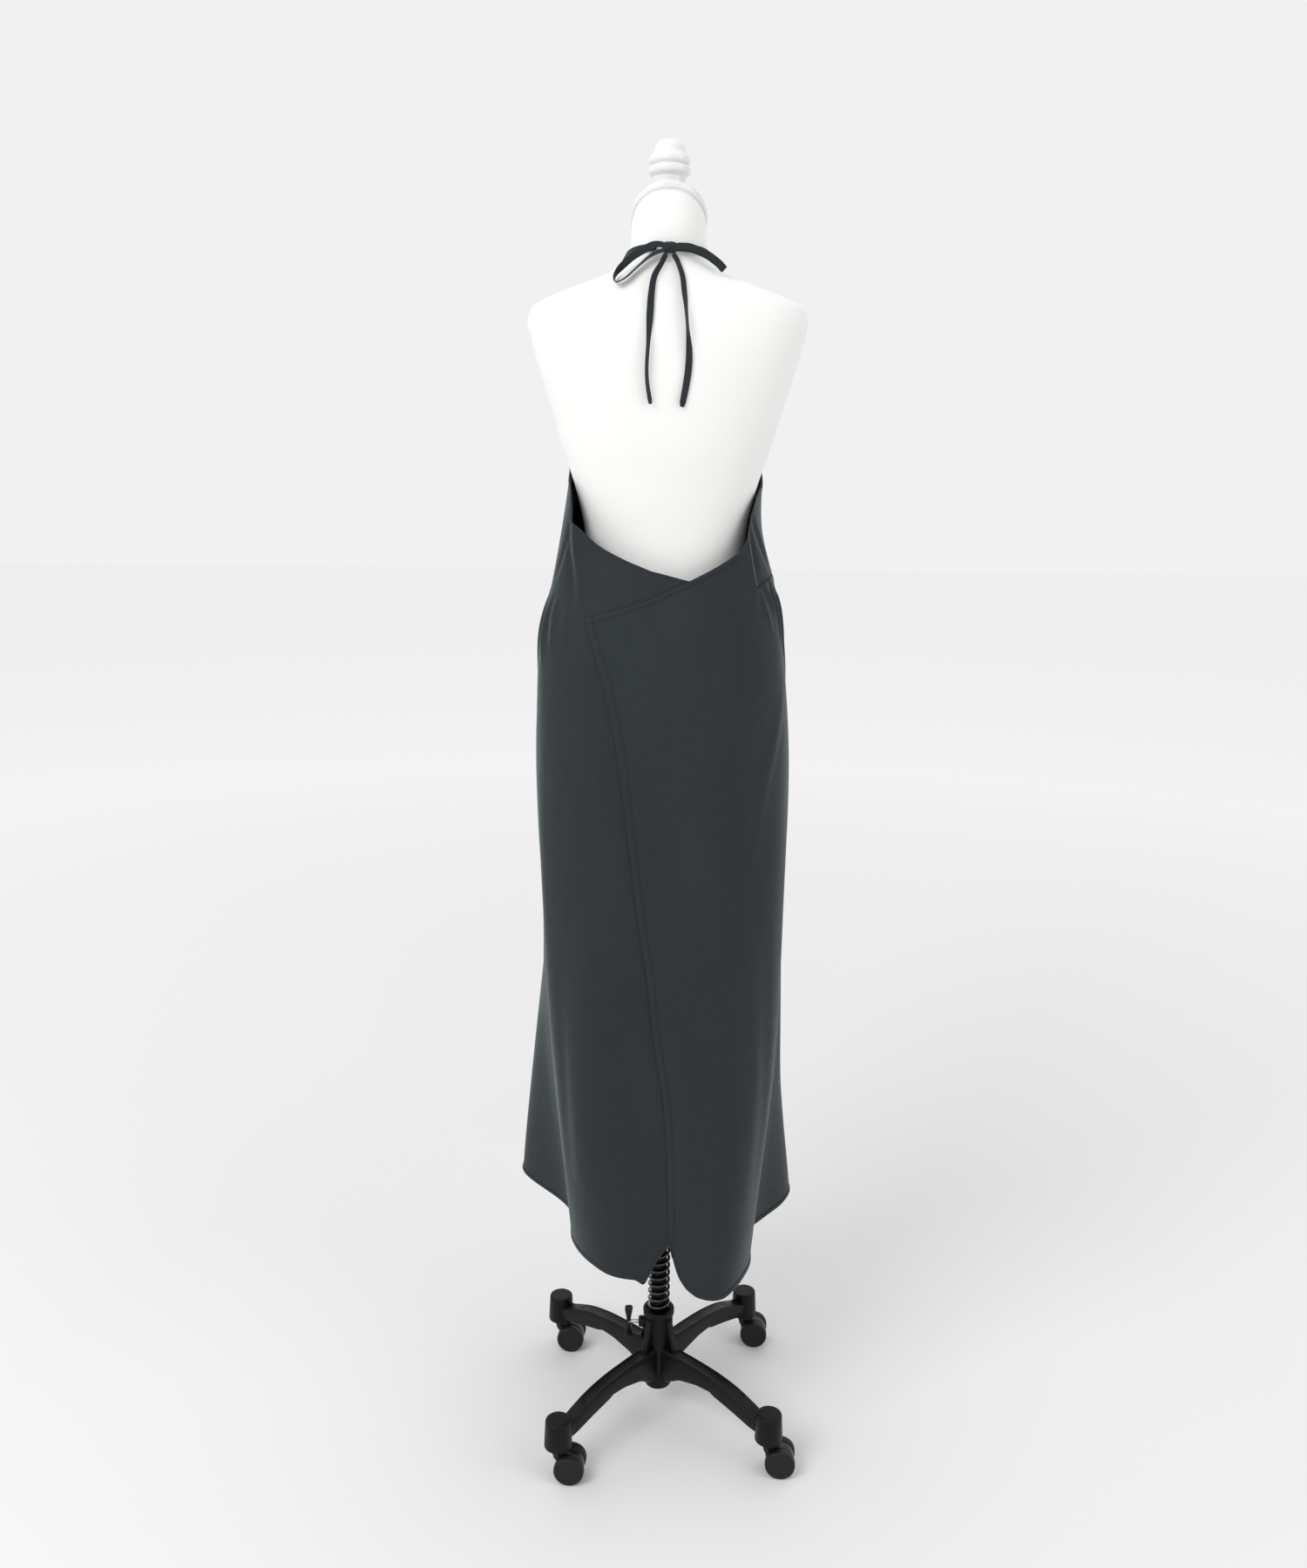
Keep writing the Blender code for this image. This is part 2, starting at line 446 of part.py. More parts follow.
TAIL_RIGHT = np.array([
    (0.0022, 1.6655, 0, 0.006), (0.0080, 1.6560, 40, 0.008), (0.0140, 1.6380, 45, 0.009), (0.0165, 1.6180, 45, 0.009),
    (0.0185, 1.6000, 60, 0.009), (0.0208, 1.5750, 65, 0.009), (0.0230, 1.5480, 30, 0.009), (0.0225, 1.5280, 15, 0.009),
    (0.0200, 1.5080, 20, 0.009), (0.0150, 1.4810, 35, 0.009)])


def turned_width(along, degrees):
    """Width direction: level across the path in the view from behind, turned toward the back."""
    flat = np.stack([along[:, 2], np.zeros(len(along)), -along[:, 0]], -1)
    flat = flat / np.linalg.norm(flat, axis=1, keepdims=True)
    turn_rad = np.radians(degrees)[:, None]
    return np.cos(turn_rad) * flat + np.sin(turn_rad) * np.array([0.0, -1.0, 0.0])


def back_of_form(x, z):
    """Where the form's back lies at a place seen from behind."""
    size = form_size(z)
    inside = np.clip(1 - (np.abs(x - FORM_CENTRE_X) / size[:, 0]) ** FORM_SQUARE, 0.0, 1.0)
    return -size[:, 1] * inside ** (1 / FORM_SQUARE)


LOOP_THICK = 0.0015
LOOP_CLEAR = 0.0014
for name, table in (("bow_loop_left", LOOP_LEFT), ("bow_loop_right", LOOP_RIGHT)):
    lower = table[:, 1] - table[:, 4] / 2
    reach = LOOP_CLEAR + table[:, 4] / 2 * np.sin(np.radians(table[:, 3]))
    path = table[:, [0, 2, 1]]
    path[:, 1] = np.minimum(path[:, 1], back_of_form(table[:, 0], lower) - reach)
    across = turned_width(np.gradient(path, axis=0), table[:, 3])
    for k in range(1, len(across)):
        if np.dot(across[k], across[k - 1]) < 0:
            across[k] = -across[k]
    ribbon(name, path, across, table[:, 4], LOOP_THICK)
for name, table in (("tie_tail_left", TAIL_LEFT), ("tie_tail_right", TAIL_RIGHT)):
    stand_off = 0.0018 + table[:, 3] / 2 * np.sin(np.radians(table[:, 2]))
    y = back_of_form(table[:, 0], table[:, 1] - table[:, 3] / 2) - stand_off
    y[0] = -0.0665
    path = np.stack([table[:, 0], y, table[:, 1]], -1)
    across = turned_width(np.gradient(path, axis=0), table[:, 2])
    ribbon(name, path, across, table[:, 3], LOOP_THICK)

# %% The stand: pole, the plate that carries the form, spring collar, spring, cast base, clamp screw
POLE_R = 0.012
POLE_FOOT = 0.115
FORM_FOOT = FORM_SECTIONS[0][0]
SPRING_FOOT = 0.1623
SPRING_TOP = 0.4100
HUB_TOP = 0.1665
HUB_FOOT = 0.0375
HUB_R = 0.0235
COLLAR_R = 0.019
COLLAR_TOP = 0.422
PLATE_R = 0.040
PLATE_TALL = 0.008
turned("pole", [(0.010, POLE_FOOT, 0), (POLE_R, POLE_FOOT + 0.002, 0), (POLE_R, FORM_FOOT - PLATE_TALL - GAP, 0)],
       (0.0, 0.0), BLACK, 0.25, 1.0, sides=18)
turned("form_plate", [(PLATE_R, FORM_FOOT - PLATE_TALL, 0), (PLATE_R, FORM_FOOT - GAP, 0)],
       (0.0, 0.0), STEEL, 0.25, 1.0, sides=24)
collar = turned("spring_collar", [(COLLAR_R, SPRING_TOP + GAP, 0), (COLLAR_R, COLLAR_TOP, 0)],
                (0.0, 0.0), STEEL, 0.3, 1.0, sides=24)
boolean(collar, cutter("collar_bore", POLE_R + GAP, (0, 0, SPRING_TOP - 0.01), (0, 0, COLLAR_TOP + 0.01)), "DIFFERENCE")

WIRE_R = 0.0021
COIL_R = 0.0148
TURNS = 20
PER_TURN = 9
steps = TURNS * PER_TURN + 1
turn = np.linspace(0.0, 2 * math.pi * TURNS, steps)
rise = np.linspace(SPRING_FOOT + WIRE_R, SPRING_TOP - WIRE_R - GAP, steps)
coil = np.stack([COIL_R * np.cos(turn), COIL_R * np.sin(turn), rise], -1)
outward = np.stack([np.cos(turn), np.sin(turn), np.zeros(steps)], -1)
wire = []
for k in range(4):
    a = math.pi / 4 + math.pi / 2 * k
    wire.append(coil + WIRE_R * (math.cos(a) * outward + math.sin(a) * np.array([0.0, 0.0, 1.0])))
rings("spring", np.stack(wire, axis=1), BLACK, 0.3, 0.6)

YAW = math.radians(3.13)
LEG_TURN = {"fl": math.radians(135), "fr": math.radians(45), "nr": math.radians(-45), "nl": math.radians(-135)}
SOCKET_REACH = 0.2131
SOCKET_TOP = 0.0925
SOCKET_FOOT = 0.0505
LEG_TOP = [(0.010, 0.1060), (0.040, 0.1055), (0.080, 0.1045), (0.120, 0.1015), (0.150, 0.0960), (0.175, 0.0875),
           (0.195, 0.0800), (0.2131, 0.0775)]
LEG_UNDER = [(0.2131, 0.0560), (0.185, 0.0590), (0.150, 0.0680), (0.118, 0.0750), (0.112, 0.0790), (0.085, 0.0770),
             (0.050, 0.0680), (0.025, 0.0520), (0.010, 0.0480)]
LEG_HALF = 0.012
EDGE_CUT = 0.003
base = turned("base_casting", [(0.015, HUB_FOOT, 0), (0.015, 0.0450, 0), (0.0200, 0.0500, 0), (0.0200, 0.1080, 0),
                               (0.0215, 0.1120, 0), (0.0215, 0.1540, 0), (HUB_R, 0.1570, 0), (HUB_R, HUB_TOP, 0)],
              (0.0, 0.0), BLACK, 0.4, sides=24)


def leg(name, turn_rad):
    """A bar with cut edges: the side outline swept across the leg's width."""
    outline = np.array(LEG_TOP + LEG_UNDER)
    middle = outline.mean(0)
    inset = outline.copy()
    inset[:, 1] += np.where(np.arange(len(outline)) < len(LEG_TOP), -EDGE_CUT, EDGE_CUT)
    loops = []
    for across, line in ((-LEG_HALF, inset), (-LEG_HALF + EDGE_CUT, outline), (LEG_HALF - EDGE_CUT, outline),
                         (LEG_HALF, inset)):
        x = line[:, 0] * math.cos(turn_rad) - across * math.sin(turn_rad)
        y = line[:, 0] * math.sin(turn_rad) + across * math.cos(turn_rad)
        loops.append(np.stack([x, y, line[:, 1]], -1))
    return rings(name, loops, BLACK, 0.4, 0.0, CUTTERS)


# a row per corner of the web between the hub and a leg: reach, height
WEB = [(0.0160, 0.1000), (0.0360, 0.1000), (0.0310, 0.1150), (0.0262, 0.1350), (0.0240, 0.1530), (0.0160, 0.1530)]
WEB_HALF = 0.0045


def web(name, turn_rad):
    """An upright web that runs from the hub down on to a leg."""
    c, s = math.cos(turn_rad), math.sin(turn_rad)
    loops = [[(r * c - across * s, r * s + across * c, up) for r, up in WEB] for across in (-WEB_HALF, WEB_HALF)]
    return rings(name, loops, BLACK, 0.4, 0.0, CUTTERS)


tools = []
sockets = {}
for tag, where in LEG_TURN.items():
    facing = where + YAW
    sockets[tag] = (SOCKET_REACH * math.cos(facing), SOCKET_REACH * math.sin(facing))
    tools.append((leg("leg_" + tag, facing), "UNION"))
    tools.append((web("web_" + tag, facing), "UNION"))
    tools.append((turned("socket_" + tag, [(0.0190, SOCKET_FOOT, 0), (0.0200, SOCKET_FOOT + 0.001, 0),
                                           (0.0180, SOCKET_TOP - 0.002, 0), (0.0162, SOCKET_TOP, 0)],
                         sockets[tag], BLACK, 0.4, sides=16, home=CUTTERS), "UNION"))
SCREW_Z = 0.1415
tools.append((cutter("screw_boss", 0.0085, (-0.015, 0, SCREW_Z), (-0.0305, 0, SCREW_Z), 16), "UNION"))
tools.append((cutter("pole_bore", POLE_R + GAP, (0, 0, 0.02), (0, 0, 0.20)), "DIFFERENCE"))
tools.append((cutter("spring_seat", 0.0180, (0, 0, SPRING_FOOT - GAP), (0, 0, 0.20)), "DIFFERENCE"))
tools.append((cutter("screw_hole", 0.0030 + GAP, (-0.005, 0, SCREW_Z), (-0.040, 0, SCREW_Z), 12), "DIFFERENCE"))
STEM_R = 0.0055
STEM_TOP = 0.0680
for tag, place in sockets.items():
    tools.append((cutter("stem_hole_" + tag, STEM_R + GAP, (*place, 0.040), (*place, STEM_TOP + GAP), 12), "DIFFERENCE"))
for tool, how in tools:
    tool.hide_render = True
    tool.display_type = "WIRE"
    boolean(base, tool, how)

screw = cutter("clamp_screw", 0.0030, (-0.0127, 0, SCREW_Z), (-0.0470, 0, SCREW_Z), 12)
CUTTERS.objects.unlink(screw)
PARTS.objects.link(screw)
screw.hide_render = False
screw.display_type = "TEXTURED"
wing_half = 0.0025
wing_outline = [(-0.0395, -0.0075), (-0.0425, -0.0245), (-0.0465, -0.0260), (-0.0500, -0.0240), (-0.0515, -0.0090),
                (-0.0515, 0.0090), (-0.0500, 0.0240), (-0.0465, 0.0260), (-0.0425, 0.0245), (-0.0395, 0.0075)]
wing = rings("wing_blank", [[(x, y, SCREW_Z + up) for x, up in wing_outline] for y in (-wing_half, wing_half)],
             BLACK, 0.4, 0.0, CUTTERS)
wing.hide_render = True
wing.display_type = "WIRE"
boolean(screw, wing, "UNION")

# %% Four swivel castors, each a hood with its stem and a pair of discs on one axle
WHEEL_R = 0.0215
AXLE_R = 0.0030
TRAIL = 0.0170
CASTOR_YAW = math.radians(5.0)
HOOD_HALF = 0.0075
DISC_IN = HOOD_HALF + 0.0006
DISC_OUT = 0.0200
roll = np.array([math.cos(CASTOR_YAW), -math.sin(CASTOR_YAW), 0.0])
axle = np.array([math.sin(CASTOR_YAW), math.cos(CASTOR_YAW), 0.0])
HOOD_OUTLINE = [(-0.0195, -0.0060), (-0.0190, 0.0060), (-0.0240, 0.0150), (-0.0240, 0.0265), (-0.0100, 0.0265),
                (0.0030, 0.0205), (0.0130, 0.0155), (0.0190, 0.0060), (0.0195, -0.0060), (0.0120, -0.0110),
                (-0.0120, -0.0110)]
for tag, place in sockets.items():
    centre = np.array([place[0], place[1], WHEEL_R]) + TRAIL * roll
    loops = []
    for across in (-HOOD_HALF, HOOD_HALF):
        loops.append([centre + a * roll + across * axle + np.array([0.0, 0.0, up]) for a, up in HOOD_OUTLINE])
    hood = rings("castor_hood_" + tag, loops, BLACK, 0.35)
    stem = turned("stem_" + tag, [(0.0085, 0.0400, 0), (0.0085, SOCKET_FOOT - GAP, 0), (STEM_R, SOCKET_FOOT - GAP, 0),
                                  (STEM_R, STEM_TOP, 0)], place, BLACK, 0.35, sides=16, home=CUTTERS)
    stem.hide_render = True
    stem.display_type = "WIRE"
    boolean(hood, stem, "UNION")
    bore = cutter("axle_bore_" + tag, AXLE_R + GAP, centre - 0.03 * axle, centre + 0.03 * axle, 12)
    boolean(hood, bore, "DIFFERENCE")
    profile = [(-DISC_OUT, WHEEL_R - 0.0030), (-DISC_OUT + 0.0020, WHEEL_R), (-DISC_IN, WHEEL_R), (-DISC_IN, AXLE_R),
               (DISC_IN, AXLE_R), (DISC_IN, WHEEL_R), (DISC_OUT - 0.0020, WHEEL_R), (DISC_OUT, WHEEL_R - 0.0030)]
    turn = np.linspace(0.0, 2 * math.pi, 20, endpoint=False)[:, None]
    circle = np.cos(turn) * roll + np.sin(turn) * np.array([0.0, 0.0, 1.0])
    loops = [centre + across * axle + radius * circle for across, radius in profile]
    rings("castor_wheels_" + tag, loops, BLACK, 0.45)
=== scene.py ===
# %% [markdown]
# # An apron dress on its dress form
# The dress is a tube of matte charcoal twill with an open back, held by a halter tie and worn by a
# white limbless form on a sprung column with four castors. Each piece of cloth is one surface worked
# out with numpy from a few tables of sizes, so a change of size is a change of one number.

# %% The frame that all tools share
import math

import bmesh
import bpy
import numpy as np
from mathutils import Matrix, Vector


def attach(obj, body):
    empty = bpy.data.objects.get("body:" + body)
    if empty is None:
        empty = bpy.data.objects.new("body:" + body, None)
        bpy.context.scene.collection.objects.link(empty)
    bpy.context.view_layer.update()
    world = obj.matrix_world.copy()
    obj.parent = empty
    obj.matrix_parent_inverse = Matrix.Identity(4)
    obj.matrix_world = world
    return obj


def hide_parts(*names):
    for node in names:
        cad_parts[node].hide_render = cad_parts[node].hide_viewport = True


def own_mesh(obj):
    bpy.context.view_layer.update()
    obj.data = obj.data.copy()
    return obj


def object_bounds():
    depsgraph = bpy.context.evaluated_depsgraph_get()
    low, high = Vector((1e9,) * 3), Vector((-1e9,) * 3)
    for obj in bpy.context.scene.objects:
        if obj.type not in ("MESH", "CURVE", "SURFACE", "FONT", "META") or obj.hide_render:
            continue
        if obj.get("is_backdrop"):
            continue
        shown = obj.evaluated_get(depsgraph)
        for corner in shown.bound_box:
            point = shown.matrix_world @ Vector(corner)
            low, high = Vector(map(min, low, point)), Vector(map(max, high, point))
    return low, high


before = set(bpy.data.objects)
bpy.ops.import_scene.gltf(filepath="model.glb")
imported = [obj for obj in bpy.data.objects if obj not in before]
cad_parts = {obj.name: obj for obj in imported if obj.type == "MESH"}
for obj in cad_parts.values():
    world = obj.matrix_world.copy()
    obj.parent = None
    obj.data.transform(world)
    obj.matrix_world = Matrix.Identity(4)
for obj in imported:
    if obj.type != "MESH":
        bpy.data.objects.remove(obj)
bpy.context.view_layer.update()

# %% [markdown]
# ## The camera
# The picture was taken from behind the garment, a little above the waist, looking 12 degrees down and
# tilted by half a degree. The camera is placed by its three axes, which keeps the tilt exact.

# %% Camera
CAMERA_AT = (-0.0157, -1.80, 1.3685)
LENS_MM = 30.33
DOWN = math.radians(12.16)
TILT = math.radians(0.56)
across_axis = np.array([1.0, 0.0, 0.0])
ahead_axis = np.array([0.0, math.cos(DOWN), -math.sin(DOWN)])
up_axis = np.cross(across_axis, ahead_axis)
right_axis = math.cos(TILT) * across_axis + math.sin(TILT) * up_axis
top_axis = math.cos(TILT) * up_axis - math.sin(TILT) * across_axis
lens = bpy.data.cameras.new("camera")
lens.lens = LENS_MM
lens.sensor_width = 36.0
lens.clip_end = 60.0
camera = bpy.data.objects.new("camera", lens)
bpy.context.scene.collection.objects.link(camera)
place = np.eye(4)
place[:3, 0], place[:3, 1], place[:3, 2], place[:3, 3] = right_axis, top_axis, -ahead_axis, CAMERA_AT
camera.matrix_world = Matrix(place.tolist())
bpy.context.scene.camera = camera
print("camera at", CAMERA_AT, "lens", LENS_MM)

# %% [markdown]
# ## Meshes from arrays
# Every piece is a grid of points. One helper writes the arrays into a mesh, and three small ones say
# which corners make the faces: a wall of cloth with two sides and a rim, or a tube that closes on itself.

# %% Helpers that turn arrays into meshes
def make_piece(name, points, face_rows, uv=None):
    """One smooth object from points and rows of corner numbers, its faces turned outward."""
    points = np.asarray(points, float).reshape(-1, 3)
    counts = np.concatenate([np.full(len(rows), rows.shape[1]) for rows in face_rows])
    corners = np.concatenate([rows.ravel() for rows in face_rows])
    mesh = bpy.data.meshes.new(name)
    mesh.vertices.add(len(points))
    mesh.vertices.foreach_set("co", points.ravel())
    mesh.loops.add(len(corners))
    mesh.loops.foreach_set("vertex_index", corners.astype(np.int32))
    mesh.polygons.add(len(counts))
    mesh.polygons.foreach_set("loop_start", (np.cumsum(counts) - counts).astype(np.int32))
    mesh.update(calc_edges=True)
    if uv is not None:
        layer = mesh.uv_layers.new(name="cut")
        layer.data.foreach_set("uv", np.asarray(uv, float).reshape(-1, 2)[corners].ravel())
    work = bmesh.new()
    work.from_mesh(mesh)
    bmesh.ops.recalc_face_normals(work, faces=work.faces)
    work.to_mesh(mesh)
    work.free()
    mesh.shade_smooth()
    made = bpy.data.objects.new(name, mesh)
    bpy.context.scene.collection.objects.link(made)
    return made


def grid_faces(rows, cols, wrap_cols=False, wrap_rows=False):
    """Four corners of each cell of a grid, which may close on itself either way."""
    at = np.arange(rows * cols).reshape(rows, cols)
    if wrap_cols:
        at = np.concatenate([at, at[:, :1]], axis=1)
    if wrap_rows:
        at = np.concatenate([at, at[:1]], axis=0)
    return np.stack([at[:-1, :-1], at[:-1, 1:], at[1:, 1:], at[1:, :-1]], -1).reshape(-1, 4)


def tube(name, loops, uv=None):
    """A closed body through rings of points, with a flat lid at each end."""
    loops = np.asarray(loops, float)
    rows, cols = loops.shape[:2]
    at = np.arange(rows * cols).reshape(rows, cols)
    return make_piece(name, loops, [grid_faces(rows, cols, wrap_cols=True), at[:1, ::-1], at[-1:]], uv)


def smooth(knots, values, at):
    """Cubic through the values at the knots, the slope at a knot taken from its neighbours."""
    knots, values, at = np.asarray(knots, float), np.asarray(values, float), np.asarray(at, float)
    slopes = np.gradient(values, knots, axis=0)
    i = np.clip(np.searchsorted(knots, at) - 1, 0, len(knots) - 2)
    step = knots[i + 1] - knots[i]
    t = np.clip((at - knots[i]) / step, 0.0, 1.0)
    shape = t.shape + (1,) * (values.ndim - 1)
    t, step = t.reshape(shape), step.reshape(shape)
    return ((2 * t**3 - 3 * t**2 + 1) * values[i] + (t**3 - 2 * t**2 + t) * step * slopes[i]
            + (3 * t**2 - 2 * t**3) * values[i + 1] + (t**3 - t**2) * step * slopes[i + 1])


def turned(name, profile, centre, sides=64, lean=0.0, softness=6, hollow=False):
    """A turned piece: rows of radius and height carried round an upright axis, and leaned if asked.

    Each pair of rows is joined by softness points. A hollow piece has its last row joined to its first,
    so that a bore runs through it, and any other piece has a flat lid at each end.
    """
    profile = np.asarray(profile, float)
    knots = np.concatenate([[0.0], np.cumsum(np.hypot(*np.diff(profile[:, :2], axis=0).T))])
    fine = np.unique(np.concatenate([np.linspace(a, b, softness) for a, b in zip(knots, knots[1:])]))
    line = np.stack([np.interp(fine, knots, column) for column in profile.T], -1)
    turn = np.linspace(0.0, 2 * math.pi, sides, endpoint=False)
    x = centre[0] + line[:, :1] * np.cos(turn)
    y = centre[1] + line[:, :1] * np.sin(turn)
    tilt = line[:, 2:3] if line.shape[1] > 2 else np.zeros((len(line), 1))
    z = line[:, 1:2] + tilt * lean * (centre[1] - y)
    points = np.stack([x, y, z], -1)
    if hollow:
        return make_piece(name, points, [grid_faces(*points.shape[:2], wrap_cols=True, wrap_rows=True)])
    return tube(name, points)


# %% [markdown]
# ## Finishes
# The cloth is a dense twill: nearly black, a little green and blue, with no shine except a faint bloom
# where it turns away. Its diagonal ribs, the slubs in the yarn and a slow change of tone come from
# procedural textures. Cloth reads the cut of its own piece, so the ribs follow the fabric and not space.

# %% A material maker and the finishes
def finish(name, colour, rough, metal=0.0, **sockets):
    """A Principled material. Named sockets are set on the shader itself."""
    made = bpy.data.materials.new(name)
    made.use_nodes = True
    shader = made.node_tree.nodes["Principled BSDF"]
    shader.inputs["Base Color"].default_value = (*colour, 1.0)
    shader.inputs["Roughness"].default_value = rough
    shader.inputs["Metallic"].default_value = metal
    for key, value in sockets.items():
        shader.inputs[key.replace("_", " ")].default_value = value
    return made


def texture(made, kind, scale, coordinates, stretch=(1.0, 1.0, 1.0), turn=0.0, **settings):
    """A procedural texture with its own mapping, and its output from 0 to 1."""
    nodes, links = made.node_tree.nodes, made.node_tree.links
    source = nodes.new("ShaderNodeUVMap" if coordinates == "cut" else "ShaderNodeTexCoord")
    if coordinates == "cut":
        source.uv_map = "cut"
    mapping = nodes.new("ShaderNodeMapping")
    mapping.inputs["Scale"].default_value = stretch
    mapping.inputs["Rotation"].default_value = (0.0, 0.0, turn)
    links.new(source.outputs["UV" if coordinates == "cut" else "Object"], mapping.inputs["Vector"])
    node = nodes.new("ShaderNodeTex" + kind)
    if scale:
        node.inputs["Scale"].default_value = scale
    for key, value in settings.items():
        node.inputs[key.replace("_", " ")].default_value = value
    links.new(mapping.outputs["Vector"], node.inputs["Vector"])
    return node.outputs["Fac"] if "Fac" in node.outputs else node.outputs["Distance"]


def vary(made, source, socket, low, high, start=0.3, end=0.7):
    """The texture drives one socket between two values, or between two colours."""
    nodes, links = made.node_tree.nodes, made.node_tree.links
    shader = nodes["Principled BSDF"]
    ramp = nodes.new("ShaderNodeValToRGB")
    ramp.color_ramp.elements[0].position, ramp.color_ramp.elements[1].position = start, end
    tones = [value if isinstance(value, tuple) else (value,) * 3 for value in (low, high)]
    for element, tone in zip(ramp.color_ramp.elements, tones):
        element.color = (*tone, 1.0)
    links.new(source, ramp.inputs["Fac"])
    links.new(ramp.outputs["Color"], shader.inputs[socket])


def relief(made, *layers):
    """Bumps laid one on another: each layer is a texture and its depth in metres."""
    nodes, links = made.node_tree.nodes, made.node_tree.links
    before = None
    for source, depth in layers:
        bump = nodes.new("ShaderNodeBump")
        bump.inputs["Strength"].default_value = 1.0
        bump.inputs["Distance"].default_value = depth
        links.new(source, bump.inputs["Height"])
        if before is not None:
            links.new(before, bump.inputs["Normal"])
        before = bump.outputs["Normal"]
    links.new(before, nodes["Principled BSDF"].inputs["Normal"])


CHARCOAL = (0.0235, 0.0290, 0.0325)
RIB_TURN = math.radians(62)


def twill(name):
    """Cloth: ribs 0.55 mm apart, yarn slubs along them, and tone that drifts over a hand's width."""
    made = finish(name, CHARCOAL, 0.86, Sheen_Weight=0.36, Sheen_Roughness=0.32,
                  Sheen_Tint=(0.78, 0.90, 0.95, 1.0), Specular_IOR_Level=0.20)
    drift = texture(made, "Noise", 9.0, "cut", (1.0, 0.35, 1.0), Detail=3.0, Roughness=0.55)
    vary(made, drift, "Base Color", (0.0185, 0.0232, 0.0262), (0.0232, 0.0288, 0.0322))
    ribs = texture(made, "Wave", 570.0, "cut", turn=RIB_TURN, Distortion=0.6, Detail=1.0)
    slubs = texture(made, "Noise", 900.0, "cut", (1.0, 0.16, 1.0), turn=RIB_TURN, Detail=2.0)
    worn = texture(made, "Noise", 60.0, "cut", Detail=4.0, Roughness=0.6)
    vary(made, worn, "Roughness", 0.80, 0.92)
    relief(made, (ribs, 0.00005), (slubs, 0.00006), (worn, 0.00012))
    return made


cloth_finish = twill("charcoal_twill")
tape_finish = twill("charcoal_tape")
knit = finish("white_knit_cover", (0.81, 0.81, 0.795), 0.82, Sheen_Weight=0.15, Sheen_Roughness=0.5,
              Specular_IOR_Level=0.25)
loops_of_yarn = texture(knit, "Voronoi", 1100.0, "Object", (1.0, 1.0, 0.7))
soft_tone = texture(knit, "Noise", 7.0, "Object", Detail=2.0)
vary(knit, soft_tone, "Base Color", (0.795, 0.795, 0.78), (0.825, 0.825, 0.81))
relief(knit, (loops_of_yarn, 0.00006))
lacquer = finish("white_lacquer", (0.74, 0.74, 0.74), 0.28, Coat_Weight=0.6, Coat_Roughness=0.12)
brushed_on = texture(lacquer, "Noise", 120.0, "Object", Detail=3.0)
vary(lacquer, brushed_on, "Roughness", 0.24, 0.34)
relief(lacquer, (brushed_on, 0.00004))
cast_black = finish("satin_black_casting", (0.004, 0.004, 0.0045), 0.42, Specular_IOR_Level=0.18)
orange_peel = texture(cast_black, "Noise", 420.0, "Object", Detail=3.0)
scuffs = texture(cast_black, "Noise", 35.0, "Object", Detail=6.0, Roughness=0.7)
vary(cast_black, scuffs, "Roughness", 0.34, 0.52)
relief(cast_black, (orange_peel, 0.00010))
spring_black = finish("gloss_black_wire", (0.010, 0.010, 0.011), 0.16, Coat_Weight=0.8, Coat_Roughness=0.08)
drawn = texture(spring_black, "Noise", 300.0, "Object", Detail=3.0)
vary(spring_black, drawn, "Roughness", 0.12, 0.24)
relief(spring_black, (drawn, 0.00003))
castor_black = finish("moulded_black_plastic", (0.006, 0.006, 0.007), 0.30, Specular_IOR_Level=0.35)
mould = texture(castor_black, "Noise", 500.0, "Object", Detail=2.0)
vary(castor_black, mould, "Roughness", 0.26, 0.38)
relief(castor_black, (mould, 0.00004))
tread = finish("castor_tread", (0.008, 0.008, 0.009), 0.55, Specular_IOR_Level=0.3)
dust = texture(tread, "Noise", 80.0, "Object", Detail=5.0, Roughness=0.7)
vary(tread, dust, "Roughness", 0.48, 0.66)
vary(tread, dust, "Base Color", (0.007, 0.007, 0.008), (0.012, 0.012, 0.012), 0.4, 0.8)
relief(tread, (dust, 0.00005))
chrome = finish("polished_steel", (0.66, 0.66, 0.67), 0.14, 1.0)
wiped = texture(chrome, "Noise", 90.0, "Object", (1.0, 1.0, 0.1), Detail=3.0)
vary(chrome, wiped, "Roughness", 0.10, 0.22)
relief(chrome, (wiped, 0.00001))
print("finishes", len(bpy.data.materials))


def dress_up(piece, made, body, nodes):
    """Gives a piece its finish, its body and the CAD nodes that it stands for."""
    piece.data.materials.clear()
    piece.data.materials.append(made)
    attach(piece, body)
    if nodes:
        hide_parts(*nodes)
    return piece


# %% [markdown]
# ## Floor and light
# A pale floor runs out to the horizon and meets a background of the same tone. Its colour holds painted
# shade, darker near the stand, and painted light, paler far off so that it meets the background. One broad
# light stands behind the camera on the left and a weaker one on the right, as in a room with white walls.

# %% Floor, background and lights
FLOOR_HALF = 25.0
# floor colours: painted light far off, painted shade near the stand
FAR_FLOOR_PAINTED_LIGHT, NEAR_FLOOR_PAINTED_SHADE = (0.93, 0.93, 0.93), (0.735, 0.735, 0.735)
BEHIND, IN_FRONT, OVERHEAD = 0.879, 0.58, 0.40
floor_points = [(-FLOOR_HALF, -FLOOR_HALF, 0.0), (FLOOR_HALF, -FLOOR_HALF, 0.0),
                (FLOOR_HALF, FLOOR_HALF, 0.0), (-FLOOR_HALF, FLOOR_HALF, 0.0)]
floor = make_piece("floor", floor_points, [np.array([[0, 1, 2, 3]])])
floor_paper = finish("pale_paper", (0.80, 0.80, 0.80), 0.9, Specular_IOR_Level=0.1)
